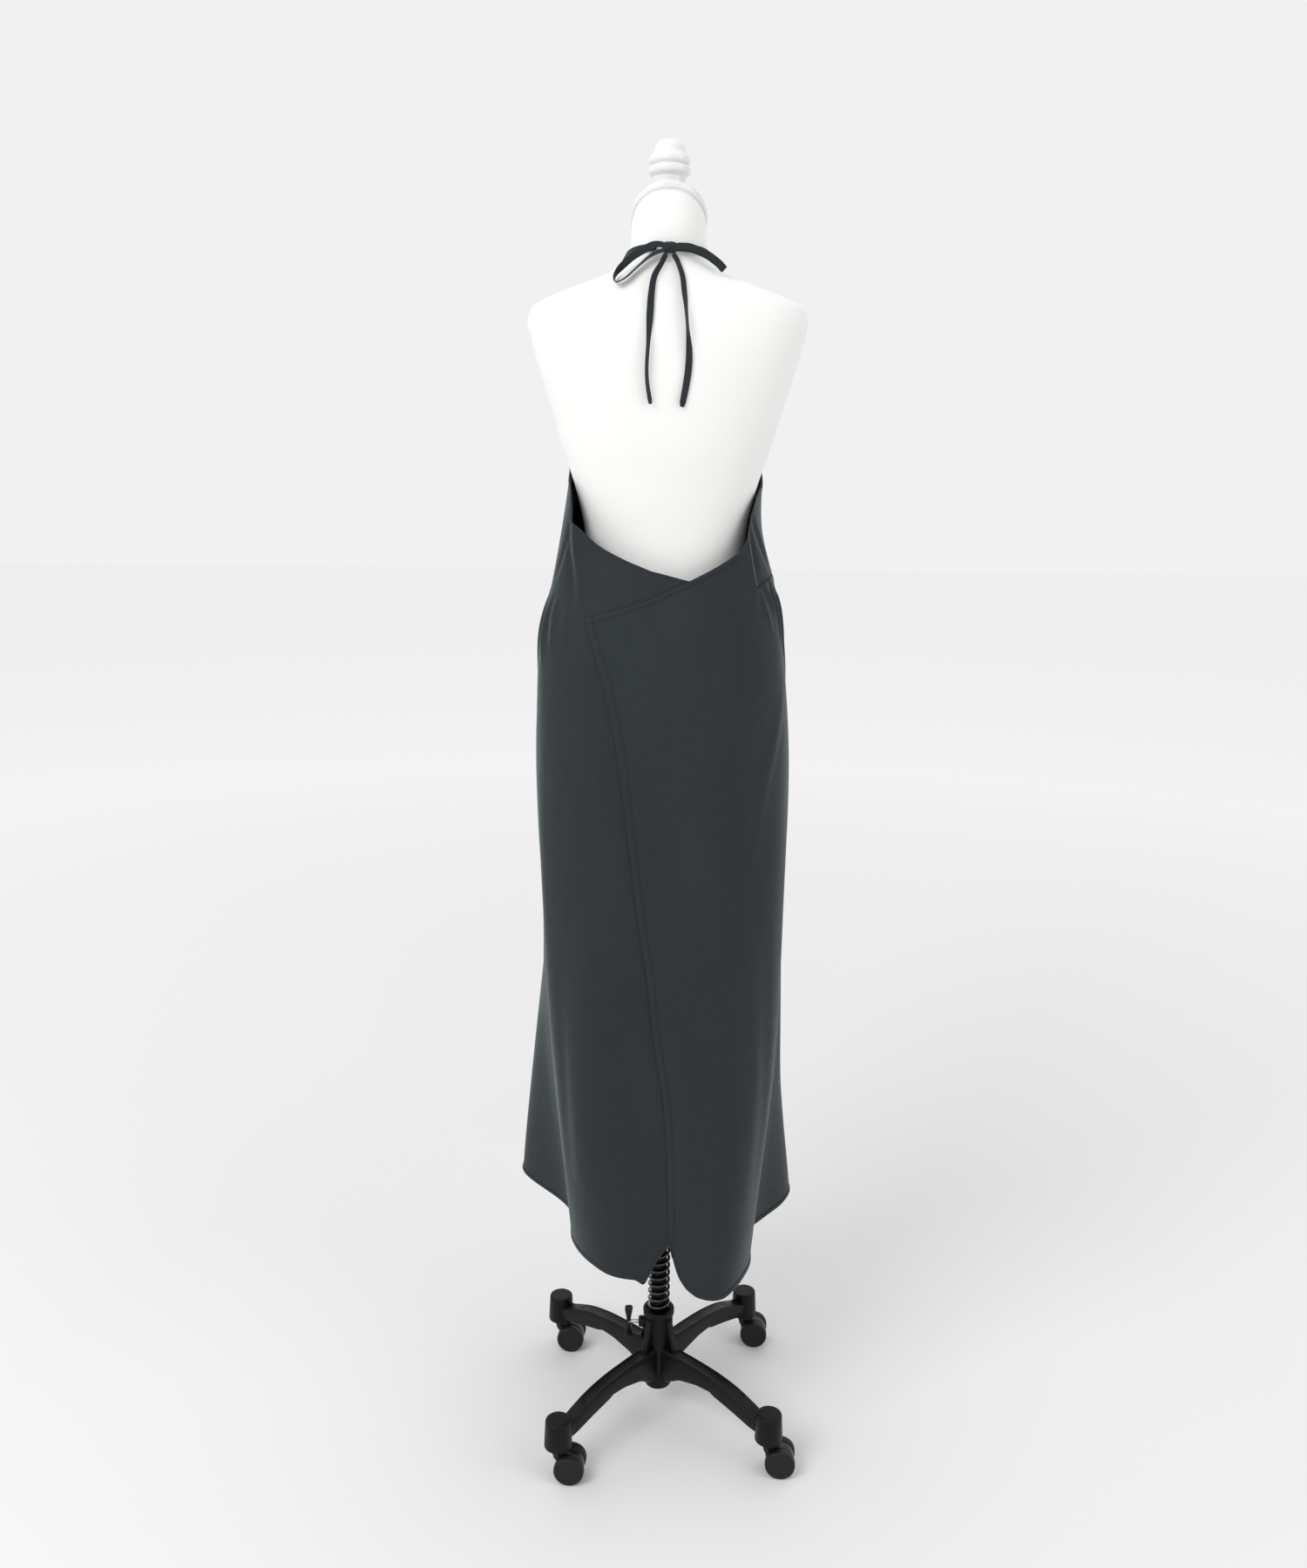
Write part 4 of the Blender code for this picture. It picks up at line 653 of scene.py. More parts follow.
# a row per crease: share and height where it starts, the same where it ends, half width, rise, bend
CREASES = [
    (-0.150, 1.352, -0.102, 1.217, 0.0080, 0.0034, 0.003), (-0.163, 1.338, -0.117, 1.226, 0.0080, -0.0022, 0.002),
    (-0.152, 1.336, -0.184, 1.258, 0.0070, -0.0022, 0.000), (-0.132, 1.300, -0.088, 1.222, 0.0100, -0.0016, 0.000),
    (0.133, 1.338, 0.118, 1.215, 0.0075, 0.0036, 0.001), (0.146, 1.332, 0.130, 1.262, 0.0070, -0.0022, 0.001),
    (0.152, 1.360, 0.184, 1.276, 0.0065, -0.0016, 0.002), (0.176, 1.350, 0.200, 1.280, 0.0060, 0.0018, 0.001),
    (0.176, 1.120, 0.103, 0.880, 0.0120, 0.0042, -0.013), (0.156, 1.090, 0.086, 0.870, 0.0160, -0.0026, -0.011),
    (-0.158, 1.242, -0.146, 1.168, 0.0055, 0.0022, 0.001), (-0.180, 1.250, -0.174, 1.150, 0.0065, 0.0026, 0.002),
    (-0.202, 1.256, -0.206, 1.140, 0.0070, 0.0024, -0.002), (-0.132, 1.233, -0.120, 1.186, 0.0050, 0.0012, 0.000),
    (-0.169, 1.244, -0.160, 1.180, 0.0045, -0.0016, 0.000), (0.148, 1.262, 0.182, 1.208, 0.0048, 0.0034, 0.002),
    (0.134, 1.256, 0.152, 1.200, 0.0045, 0.0022, 0.001), (0.174, 1.268, 0.186, 1.180, 0.0052, 0.0036, 0.002),
    (0.203, 1.268, 0.213, 1.130, 0.0075, 0.0030, 0.000), (0.161, 1.262, 0.184, 1.196, 0.0040, -0.0024, 0.001),
    (0.188, 1.266, 0.203, 1.160, 0.0050, -0.0022, 0.001), (-0.104, 0.960, -0.120, 0.420, 0.0240, 0.0030, 0.010),
    (-0.142, 0.800, -0.150, 0.380, 0.0160, -0.0028, -0.006), (0.084, 0.880, 0.098, 0.360, 0.0260, 0.0028, -0.008),
    (0.138, 0.820, 0.150, 0.360, 0.0180, -0.0030, 0.006), (0.044, 0.740, 0.052, 0.320, 0.0200, -0.0014, 0.004),
    (-0.070, 1.120, -0.096, 0.800, 0.0300, -0.0014, 0.000), (0.060, 1.180, 0.096, 1.000, 0.0220, 0.0014, 0.006),
    (-0.190, 1.020, -0.196, 0.560, 0.0180, 0.0030, 0.008), (-0.222, 0.900, -0.226, 0.360, 0.0150, -0.0026, 0.004),
    (0.198, 0.960, 0.204, 0.420, 0.0170, 0.0028, -0.006), (0.222, 0.760, 0.226, 0.340, 0.0140, -0.0024, 0.003),
    (0.292, 1.160, 0.300, 0.500, 0.0180, 0.0050, 0.010), (0.345, 1.100, 0.352, 0.360, 0.0200, -0.0050, -0.008),
    (0.392, 1.170, 0.385, 0.620, 0.0160, 0.0040, 0.006), (0.436, 1.050, 0.430, 0.340, 0.0220, 0.0050, -0.010),
    (0.470, 1.150, 0.476, 0.700, 0.0140, -0.0035, 0.004), (0.520, 1.120, 0.528, 0.360, 0.0200, 0.0045, 0.008),
    (0.566, 1.000, 0.560, 0.380, 0.0180, -0.0040, -0.006), (0.612, 1.160, 0.620, 0.550, 0.0170, 0.0045, 0.006),
    (0.655, 1.050, 0.662, 0.340, 0.0210, 0.0050, -0.008), (0.702, 1.140, 0.706, 0.600, 0.0150, -0.0040, 0.004),
    (0.360, 1.510, 0.420, 1.330, 0.0100, 0.0028, 0.006), (0.640, 1.500, 0.592, 1.340, 0.0110, 0.0026, -0.005),
    (0.450, 1.430, 0.468, 1.280, 0.0120, -0.0016, 0.003), (0.552, 1.400, 0.532, 1.270, 0.0100, 0.0020, -0.002),
    (0.284, 1.440, 0.302, 1.300, 0.0090, -0.0016, 0.002), (0.720, 1.440, 0.705, 1.310, 0.0090, -0.0016, -0.003)]


def gathers(s, z):
    """Sum of the gathers: a bell across each one, gone at the seam and again below its reach.
    The visible cloth stands 1.3 times as high as the table, since its fibres blur a fold."""
    rise = np.zeros_like(s)
    for share, top, reach, width, height in GATHERS:
        across = (s - share + 0.5) % 1.0 - 0.5
        below = np.clip((top - z) / reach, 0.0, 1.0)
        rise = rise + 1.3 * height * np.exp(-(across / width) ** 2) * np.sin(math.pi * below ** 0.6)
    return rise


def creases(s, z):
    """Sum of the creases: a bell across the line, a sine along it, its middle bent to one side."""
    rise = np.zeros_like(s)
    for s0, z0, s1, z1, width, height, bend in CREASES:
        run = np.array([(s1 - s0) * AROUND, z1 - z0])
        long = np.hypot(*run)
        run = run / long
        a = ((s - s0 + 0.5) % 1.0 - 0.5) * AROUND
        b = z - z0
        t = np.clip((a * run[0] + b * run[1]) / long, 0.0, 1.0)
        off = a * -run[1] + b * run[0] - bend * np.sin(math.pi * t)
        rise = rise + height * np.exp(-(off / width) ** 2) * np.sin(math.pi * t) ** 0.8
    return rise


def drape(s, z, lift):
    """Points of the cloth: the loop, moved out along its own level normal."""
    step = 0.002
    plan = dress(s, z)
    along = dress(s + step, z) - dress(s - step, z)
    along = along / np.linalg.norm(along, axis=-1, keepdims=True)
    out = np.asarray(lift + gathers(s, z) + creases(s, z))[..., None] * np.stack([along[..., 1], -along[..., 0]], -1)
    return np.concatenate([plan + out, z[..., None]], -1)


# %% [markdown]
# ## The pieces of the dress
# Each piece is cut by four edges. Near an edge the rows lie close together, so that the turned hem, its
# row of stitches and the rounded rim have points to show them, and in the middle they are spread evenly.
# Where two layers of cloth are sewn the surface stands a little higher, with a groove along the seam.

# %% Edges of the pieces, as the share round and the height there
TOP_LEFT = [(-0.235, 1.396), (-0.200, 1.390), (-0.180, 1.381), (-0.168, 1.369), (-0.150, 1.340), (-0.118, 1.329), (-0.077, 1.306),
            (-0.048, 1.291), (-0.021, 1.279), (0.027, 1.267), (0.060, 1.262)]
TOP_FRONT = [(0.230, 1.386), (0.262, 1.394), (0.300, 1.418), (0.345, 1.472), (0.385, 1.545), (0.420, 1.600),
             (0.500, 1.590), (0.580, 1.600), (0.615, 1.550), (0.655, 1.488), (0.700, 1.440), (0.735, 1.415),
             (0.765, 1.396)]
TOP_RIGHT = [(-0.092, 1.218), (-0.075, 1.223), (-0.057, 1.229), (-0.019, 1.244), (0.004, 1.256), (0.027, 1.2665),
             (0.076, 1.289), (0.116, 1.307), (0.134, 1.325), (0.161, 1.353), (0.184, 1.373), (0.206, 1.382),
             (0.240, 1.387)]
WAIST_LEFT = [(-0.235, 1.262), (-0.214, 1.260), (-0.160, 1.247), (-0.125, 1.232), (-0.102, 1.219), (-0.050, 1.206),
              (0.060, 1.200)]
WAIST_FRONT = [(0.230, 1.268), (0.300, 1.264), (0.500, 1.258), (0.700, 1.262), (0.770, 1.262)]
HEM_LEFT = [(-0.250, 0.302), (-0.148, 0.297), (-0.108, 0.298), (-0.076, 0.295), (-0.053, 0.292), (-0.037, 0.290),
            (-0.025, 0.281), (-0.021, 0.286), (-0.013, 0.305), (-0.004, 0.321), (0.008, 0.339), (0.020, 0.356),
            (0.060, 0.385)]
HEM_RIGHT = [(0.012, 0.360), (0.015, 0.347), (0.020, 0.329), (0.029, 0.303), (0.041, 0.288), (0.055, 0.280),
             (0.074, 0.277), (0.097, 0.275), (0.117, 0.278), (0.143, 0.280), (0.176, 0.278), (0.240, 0.280)]
HEM_FRONT = [(0.230, 0.281), (0.262, 0.277), (0.295, 0.280), (0.335, 0.292), (0.420, 0.297), (0.500, 0.305),
             (0.580, 0.315), (0.665, 0.322), (0.760, 0.302)]
# the wrap's free edge: height, then the share round the dress
WRAP_EDGE = [(0.270, 0.0125), (0.390, 0.0125), (0.497, 0.008), (0.571, 0.002), (0.661, -0.012), (0.737, -0.019),
             (0.816, -0.030), (0.919, -0.041), (1.044, -0.053), (1.139, -0.066), (1.183, -0.077), (1.218, -0.092)]
LAP_LIFT = 0.0026
LAP_SHARE = 0.045
LAP_RISE = 0.030
SEAM = -0.0003
LEFT_START = -0.240 + SEAM
LEFT_END = -0.092 + LAP_SHARE


def edge(rows, at, soft=0.003):
    """Height of an edge at each share, or the share at each height, with its corners eased."""
    rows = np.array(rows)
    at = np.asarray(at, float)
    return np.mean([np.interp(at + k * soft, rows[:, 0], rows[:, 1]) for k in (-1, -0.5, 0, 0.5, 1)], axis=0)


NEAR = np.array([0, 0.0003, 0.0007, 0.0012, 0.0022, 0.0036, 0.0054, 0.0068, 0.0074, 0.0080, 0.0086, 0.0093, 0.0110, 0.0140])


def stations(count):
    """Weights between two edges and the distance kept from the nearer one: close steps at both ends."""
    middle = np.linspace(0.0, 1.0, count)[1:-1]
    weight = np.concatenate([np.zeros(len(NEAR)), middle, np.ones(len(NEAR))])
    kept = np.concatenate([NEAR, NEAR[-1] * (1 - 2 * middle), -NEAR[::-1]])
    return weight, kept


LINE_NEAR = np.array([-0.0140, -0.0090, -0.0060, -0.0042, -0.0030, -0.0021, -0.0014, -0.0008, -0.0003, 0.0002, 0.0007, 0.0013,
                      0.0022, 0.0034, 0.0052, 0.0080])


def stations_by_line(below, above):
    """The same with a third line between the edges, and close steps on both sides of it."""
    up_to, beyond = np.linspace(0.0, 1.0, below)[1:-1], np.linspace(0.0, 1.0, above)[1:-1]
    n = len(NEAR), len(LINE_NEAR)
    foot = np.concatenate([np.ones(n[0]), 1 - up_to, np.zeros(n[1] + len(beyond) + n[0])])
    head = np.concatenate([np.zeros(n[0] + len(up_to) + n[1]), beyond, np.ones(n[0])])
    kept = np.concatenate([NEAR, NEAR[-1] * (1 - up_to) + LINE_NEAR[0] * up_to, LINE_NEAR,
                           LINE_NEAR[-1] * (1 - beyond) - NEAR[-1] * beyond, -NEAR[::-1]])
    return foot[:, None], head[:, None], kept[:, None]


def bell(distance, width):
    return np.exp(-(distance / width) ** 2)


def step_down(distance, at, over):
    """One before a place and nothing beyond it, with a soft step."""
    t = np.clip((distance - at) / over + 0.5, 0.0, 1.0)
    return 1 - t * t * (3 - 2 * t)


def seam_relief(distance, band, turned_in):
    """A turned edge: a doubled band that ends in a groove where it is stitched."""
    raised = turned_in * step_down(distance, band, 0.0012)
    return raised - 0.0009 * bell(distance - band, 0.0009)


def panel(name, first, last, low, high, cols, rows, lift=None, bands=(None, None, None, None), node=None, line=None):
    """A wall of cloth between four edges. first and last give the share at a height, low and high
    the height at a share, and bands the stitched width at the first, last, low and high edge.
    line is a height at each share round which the rows lie close, for a seam across the piece."""
    wc, kc = stations(cols)
    wr, kr = stations(rows)
    wc, kc, wr, kr = wc[None, :], kc[None, :] / AROUND, wr[:, None], kr[:, None]
    foot = first(0.30) * (1 - wc) + last(0.30) * wc + kc
    head = first(None) * (1 - wc) + last(None) * wc + kc
    bottom, top = low(foot), high(head)
    z = bottom * (1 - wr) + top * wr + kr
    if line is not None:
        across = head
        for _ in range(3):
            across = first(line(across)) * (1 - wc) + last(line(across)) * wc + kc
        foot_share, head_share, kr = stations_by_line(rows - 34, 34)
        z = bottom * foot_share + top * head_share + line(across) * (1 - foot_share - head_share) + kr
    s = first(z) * (1 - wc) + last(z) * wc + kc
    away = [(s - first(z)) * AROUND, (last(z) - s) * AROUND, z - bottom + 0 * s, top - z + 0 * s]
    base = np.zeros_like(s) if lift is None else lift(s, z)
    for distance, band in zip(away, bands):
        if band:
            base = base + seam_relief(distance, band, 0.0009)
    nearest = np.min(away, axis=0)
    closeness = np.clip(1 - nearest / 0.0012, 0.0, 1.0)
    half = WALL / 2 * (0.25 + 0.75 * np.sqrt(1 - closeness**2))
    outer, inner = drape(s, z, base + WALL / 2 + half), drape(s, z, base + WALL / 2 - half)
    rows_n, cols_n = s.shape
    cells = grid_faces(rows_n, cols_n)
    at = np.arange(rows_n * cols_n).reshape(rows_n, cols_n)
    rim = np.concatenate([at[0, :-1], at[:-1, -1], at[-1, :0:-1], at[:0:-1, 0]])
    ahead = np.roll(rim, -1)
    count = rows_n * cols_n
    uv = np.stack([s * AROUND, z], -1).reshape(-1, 2)
    made = make_piece(name, np.concatenate([inner.reshape(-1, 3), outer.reshape(-1, 3)]),
                      [cells + count, cells[:, ::-1], np.stack([rim, ahead, ahead + count, rim + count], -1)],
                      np.concatenate([uv, uv]))
    dress_up(made, cloth_finish, "upper", [node])
    area = sum(p.area for p in made.data.polygons) / 2
    print(name, "has", len(made.data.polygons) * 2, "triangles and", round(area, 3), "square metres of cloth")
    return made


def fixed(value):
    """An edge that keeps one share at every height."""
    return lambda z: value if z is None else value + 0 * np.asarray(z, float)


# %% The back of the bodice on the left, under the wrap
def bodice_first(z):
    return fixed(-0.235 + SEAM)(z)


bodice_left = panel("left_back_bodice", bodice_first, fixed(0.045), lambda s: edge(WAIST_LEFT, s) + SEAM,
                    lambda s: edge(TOP_LEFT, s), 110, 60, bands=(None, None, None, 0.0042), node="back_bodice_left")

# %% The bib that crosses the front and rises to the halter
bib = panel("front_bib", fixed(0.235 + SEAM), fixed(0.765 - SEAM), lambda s: edge(WAIST_FRONT, s) + SEAM,
            lambda s: edge(TOP_FRONT, s), 170, 90, bands=(None, None, None, 0.0080), node="bib_front")

# %% The gathered front of the skirt
skirt_front = panel("front_skirt", fixed(0.235 + SEAM), fixed(0.760 - SEAM), lambda s: edge(HEM_FRONT, s),
                    lambda s: edge(WAIST_FRONT, s) - SEAM, 200, 170, bands=(None, None, 0.0080, None),
                    node="skirt_front")


# %% The left back of the skirt, which goes on under the wrap
def left_last(z):
    """Under the wrap's free edge, at the same distance all the way down."""
    return LEFT_END if z is None else edge(WRAP_EDGE, np.asarray(z) + LAP_RISE, 0.010) + LAP_SHARE


skirt_left = panel("left_back_skirt", fixed(LEFT_START), left_last, lambda s: edge(HEM_LEFT, s),
                   lambda s: edge(WAIST_LEFT, s) - SEAM, 120, 200, bands=(None, None, 0.0080, None),
                   node="skirt_back_left")

# %% [markdown]
# ## The wrap
# The right back is one long piece that laps over the left one. A short waist seam runs in from its side
# and takes up three small gathers, and it ends in a bar tack. A row of stitches follows the free edge.

# %% The right back panel with its short waist seam
SHORT_SEAM = np.array([(-0.092, 1.1880), (0.000, 1.2150), (0.120, 1.2540), (0.137, 1.2605), (0.158, 1.2665),
                       (0.188, 1.2715), (0.235, 1.2750)])
SEAM_ENDS = 0.122


def short_seam(s):
    return np.interp(s, SHORT_SEAM[:, 0], SHORT_SEAM[:, 1])


def wrap_first(z):
    return -0.092 if z is None else edge(WRAP_EDGE, z, 0.010)


def wrap_lift(s, z):
    """Lies over the left back, comes down to the body toward the side, and dips along its short seam."""
    beyond = np.clip((s - 0.100) / 0.100, 0.0, 1.0)
    above = z - short_seam(s)
    there = np.clip((s - SEAM_ENDS) / 0.008, 0.0, 1.0)
    lip = 0.0008 * np.clip(above / 0.0006, 0.0, 1.0) * np.exp(-np.maximum(above, 0) / 0.0060)
    puff = 0.0012 * np.exp(-((above + 0.0060) / 0.0045) ** 2)
    return (LAP_LIFT * (1 - beyond * beyond * (3 - 2 * beyond))
            + there * (lip + puff - 0.0026 * bell(above + 0.0004, 0.0010)))


wrap_panel = panel("right_back_panel", wrap_first, fixed(0.235 - SEAM), lambda s: edge(HEM_RIGHT, s),
                   lambda s: edge(TOP_RIGHT, s), 130, 250, wrap_lift, bands=(0.0080, None, 0.0080, 0.0070),
                   node="back_panel_right", line=short_seam)

# %% [markdown]
# ## Stitches
# A stitch is a short bead of thread half sunk in the cloth. One bead is made as a small ring of points
# and copied along the line as arrays: each copy is placed by the line's own direction and way out.

# %% Rows of topstitching
def beads(name, s, z, lift, pitch=0.0030, long=0.0024, radius=0.00024):
    """Beads along a line of shares and heights on the drape, one every pitch."""
    line = drape(s, z, lift)
    run = np.concatenate([[0.0], np.cumsum(np.linalg.norm(np.diff(line, axis=0), axis=1))])
    at = np.arange(pitch, run[-1] - pitch, pitch)
    centre = np.stack([np.interp(at, run, column) for column in line.T], -1)
    ahead = np.stack([np.interp(at + 0.001, run, column) for column in line.T], -1) - centre
    ahead = ahead / np.linalg.norm(ahead, axis=1, keepdims=True)
    side = np.cross(ahead, np.array([0.0, 1.0, 0.0]))
    side = side / np.linalg.norm(side, axis=1, keepdims=True)
    out = np.cross(ahead, side)
    turn = np.linspace(0.0, 2 * math.pi, 6, endpoint=False)
    stretch = np.array([-0.5, -0.36, 0.0, 0.36, 0.5])
    thick = np.array([0.15, 0.8, 1.0, 0.8, 0.15])
    ring = (centre[:, None, None] + ahead[:, None, None] * long * stretch[None, :, None, None]
            + radius * thick[None, :, None, None] * (side[:, None, None] * np.cos(turn)[None, None, :, None]
                                                     + out[:, None, None] * np.sin(turn)[None, None, :, None]))
    one = np.arange(30).reshape(5, 6)
    cells = grid_faces(5, 6, wrap_cols=True)
    shift = (np.arange(len(at)) * 30)[:, None, None]
    faces = [(cells[None] + shift).reshape(-1, 4), (one[:1, ::-1][None] + shift).reshape(-1, 6),
             (one[-1:][None] + shift).reshape(-1, 6)]
    uv = np.broadcast_to(ring[..., [0, 2]], ring.shape[:3] + (2,))
    made = make_piece(name, ring, faces, uv)
    dress_up(made, thread, "upper", [])
    print(name, len(at), "stitches")
    return made


thread = finish("charcoal_thread", (0.040, 0.049, 0.051), 0.75)
ply = texture(thread, "Wave", 700.0, "cut", turn=0.6, Distortion=1.0)
vary(thread, ply, "Roughness", 0.62, 0.85)
relief(thread, (ply, 0.00004))
down = np.linspace(1.212, 0.372, 420)
wrap_stitches = beads("wrap_edge_stitches", edge(WRAP_EDGE, down, 0.010) + 0.0080 / AROUND, down,
                      np.full_like(down, LAP_LIFT + WALL + 0.0002))
over = np.linspace(-0.082, 0.225, 400)
top_s = over
top_z = edge(TOP_RIGHT, top_s) - 0.0070
top_stitches = beads("top_edge_stitches", top_s, top_z,
                     wrap_lift(top_s, top_z) + WALL + 0.0002)

# %% The bar tack at the end of the short waist seam
tack_turn = np.linspace(0.0, 2 * math.pi, 20, endpoint=False)
tack_radius = np.array([0.0017, 0.0019, 0.0016, 0.0009, 0.0002])[:, None]
tack_lift = LAP_LIFT + WALL + np.array([-0.0010, 0.0000, 0.0007, 0.0011, 0.0012])[:, None]
tack_s = 0.129 + tack_radius * np.cos(tack_turn) / AROUND
tack_z = 1.2460 + tack_radius * np.sin(tack_turn)
tack = tube("seam_bar_tack", drape(tack_s, tack_z, tack_lift + 0 * tack_z), np.stack([tack_s, tack_z], -1))
tack_dark = finish("bar_tack_thread", (0.018, 0.021, 0.022), 0.7)
tack_ply = texture(tack_dark, "Wave", 600.0, "cut", Distortion=1.5)
vary(tack_dark, tack_ply, "Roughness", 0.6, 0.8)
relief(tack_dark, (tack_ply, 0.00008))
dress_up(tack, tack_dark, "upper", [])

# %% The cloth pieces are all made
print("cloth pieces made")

# %% [markdown]
# ## The column and its spring
# A black tube slides in the hub, and a long spring of black wire under a collar carries the form. The
# spring is a round profile carried along a helix.

# %% Column, plate, collar and spring
POLE_R = 0.012
SPRING_FOOT, SPRING_TOP = 0.1623, 0.4100
COLLAR_TOP = 0.422
FORM_FOOT = 0.905
pole = turned("column_tube", [(0.0100, 0.115), (0.0112, 0.1153), (POLE_R, 0.1165), (POLE_R, 0.8960), (0.0115, 0.8967)],
              (0.0, 0.0), 48)
dress_up(pole, cast_black, "upper", ["pole"])
plate = turned("carrier_plate", [(0.0385, 0.8970), (0.0398, 0.8974), (0.0400, 0.8985), (0.0400, 0.9035), (0.0398, 0.9044),
                                 (0.0385, 0.9047)], (0.0, 0.0), 64, softness=3)
dress_up(plate, chrome, "upper", ["form_plate"])
collar = turned("spring_stop", [(POLE_R + 0.0001, SPRING_TOP + GAP), (0.0180, SPRING_TOP + GAP), (0.0190, 0.4113),
                                (0.0190, 0.4210), (0.0180, COLLAR_TOP), (POLE_R + 0.0001, COLLAR_TOP)],
                (0.0, 0.0), 64, softness=3, hollow=True)
dress_up(collar, chrome, "upper", ["spring_collar"])

WIRE_R, COIL_R, TURNS = 0.0021, 0.0148, 20
turn = np.linspace(0.0, 2 * math.pi * TURNS, TURNS * 40 + 1)
rise = np.linspace(SPRING_FOOT + WIRE_R, SPRING_TOP - WIRE_R - GAP, len(turn))
coil = np.stack([COIL_R * np.cos(turn), COIL_R * np.sin(turn), rise], -1)
outward = np.stack([np.cos(turn), np.sin(turn), 0 * turn], -1)
round_wire = np.linspace(0.0, 2 * math.pi, 14, endpoint=False)
wire = (coil[:, None] + WIRE_R * (np.cos(round_wire)[None, :, None] * outward[:, None]
                                  + np.sin(round_wire)[None, :, None] * np.array([0.0, 0.0, 1.0])))
spring = tube("column_spring", wire)
dress_up(spring, spring_black, "base", ["spring"])
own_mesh(spring)
print("spring", TURNS, "turns,", len(spring.data.polygons) * 2, "triangles")

# %% [markdown]
# ## The cast base
# Four arched legs run out from a hub to a socket each. A leg is a rounded bar whose upper and lower lines
# come from two tables, and a shallow channel with raised lips runs along its top. Each ring of points goes
# round the bar once: across it is a squared oval, and the channel lowers the points in the middle.

# %% Legs
YAW = math.radians(3.13)
LEG_TURN = {"fl": math.radians(135), "fr": math.radians(45), "nr": math.radians(-45), "nl": math.radians(-135)}
SOCKET_REACH = 0.2131
LEG_HALF = 0.012
# rows of reach and height: the leg's upper line and its lower line
LEG_TOP = np.array([(0.010, 0.1060), (0.040, 0.1055), (0.080, 0.1045), (0.120, 0.1015), (0.150, 0.0960), (0.175, 0.0875),
                    (0.195, 0.0800), (0.2131, 0.0775)])
LEG_UNDER = np.array([(0.010, 0.0480), (0.025, 0.0520), (0.050, 0.0680), (0.085, 0.0770), (0.110, 0.0788),
                      (0.118, 0.0752), (0.150, 0.0680), (0.185, 0.0590), (0.2131, 0.0560)])
reach_at = np.unique(np.concatenate([np.linspace(0.0155, 0.2131, 110), np.linspace(0.106, 0.122, 12)]))
upper_line = smooth(LEG_TOP[:, 0], LEG_TOP[:, 1], reach_at)
lower_line = np.interp(reach_at, LEG_UNDER[:, 0], LEG_UNDER[:, 1])
lower_line = np.convolve(np.pad(lower_line, 2, mode="edge"), np.ones(5) / 5, mode="valid")
ring = np.linspace(0.0, 2 * math.pi, 64, endpoint=False)
wide = np.sign(np.cos(ring)) * np.abs(np.cos(ring)) ** 0.32
tall = np.sign(np.sin(ring)) * np.abs(np.sin(ring)) ** 0.32
channel_there = step_down(-reach_at, -0.036, 0.006) * step_down(reach_at, 0.162, 0.010)
channel = 0.0016 * channel_there[:, None] * step_down(np.abs(wide)[None, :], 0.62, 0.16) * (tall > 0.5)
middle = (upper_line + lower_line)[:, None] / 2
half_tall = (upper_line - lower_line)[:, None] / 2
leg_z = middle + half_tall * tall[None, :] - channel
leg_a = LEG_HALF * wide[None, :] * (1 - 0.06 * np.clip(-tall, 0, 1)[None, :]) + 0 * leg_z
for tag, where in LEG_TURN.items():
    facing = where + YAW
    x = reach_at[:, None] * math.cos(facing) - leg_a * math.sin(facing)
    y = reach_at[:, None] * math.sin(facing) + leg_a * math.cos(facing)
    leg = tube("leg_" + tag, np.stack([x, y, leg_z], -1))
    dress_up(leg, cast_black, "base", [])

# %% Hub and sockets
hub = turned("hub_tube", [(0.0125, 0.0382), (0.0185, 0.0375), (0.0195, 0.0385), (0.0200, 0.0420), (0.0200, 0.1080),
                          (0.0207, 0.1108), (0.0215, 0.1130), (0.0215, 0.1535), (0.0225, 0.1558), (0.0234, 0.1575),
                          (0.0235, 0.1650), (0.0228, 0.1663), (0.0195, 0.1665), (0.0182, 0.1655), (0.0181, 0.1622),
                          (0.0124, 0.1620)], (0.0, 0.0), 64, softness=4, hollow=True)
dress_up(hub, cast_black, "base", ["base_casting"])
sockets = {}
for tag, where in LEG_TURN.items():
    facing = where + YAW
    sockets[tag] = (SOCKET_REACH * math.cos(facing), SOCKET_REACH * math.sin(facing))
    cup = turned("socket_" + tag, [(0.0130, 0.0505), (0.0190, 0.0506), (0.0199, 0.0512), (0.0201, 0.0530),
                                   (0.0182, 0.0895), (0.0176, 0.0913), (0.0162, 0.0923), (0.0130, 0.0925),
                                   (0.0010, 0.0925)], sockets[tag], 48, softness=4)
    dress_up(cup, cast_black, "base", [])
WEB = np.array([(0.0170, 0.1000), (0.0350, 0.1000), (0.0310, 0.1150), (0.0262, 0.1350), (0.0238, 0.1510), (0.0228, 0.1528),
                (0.0170, 0.1528), (0.0170, 0.1000)])
web_line = np.stack([np.interp(np.linspace(0, 7, 71)[:-1], np.arange(8), column) for column in WEB.T], -1)
web_across = 0.0045 * np.sin(np.linspace(-1.0, 1.0, 9) * math.pi / 2)[:, None]
web_shrink = 1 - 0.06 * (np.abs(web_across) / 0.0045) ** 4
for tag, where in LEG_TURN.items():
    facing = where + YAW
    web_reach = 0.0170 + (web_line[None, :, 0] - 0.0170) * web_shrink
    x = web_reach * math.cos(facing) - web_across * math.sin(facing)
    y = web_reach * math.sin(facing) + web_across * math.cos(facing)
    web = tube("web_" + tag, np.stack([x, y, web_line[None, :, 1] + 0 * x], -1))
    dress_up(web, cast_black, "base", [])
boss_x = np.linspace(-0.0150, -0.0305, 8)[:, None]
boss_r = np.array([0.0085, 0.0085, 0.0085, 0.0085, 0.0085, 0.0085, 0.0082, 0.0070])[:, None]
SCREW_Z = 0.1415
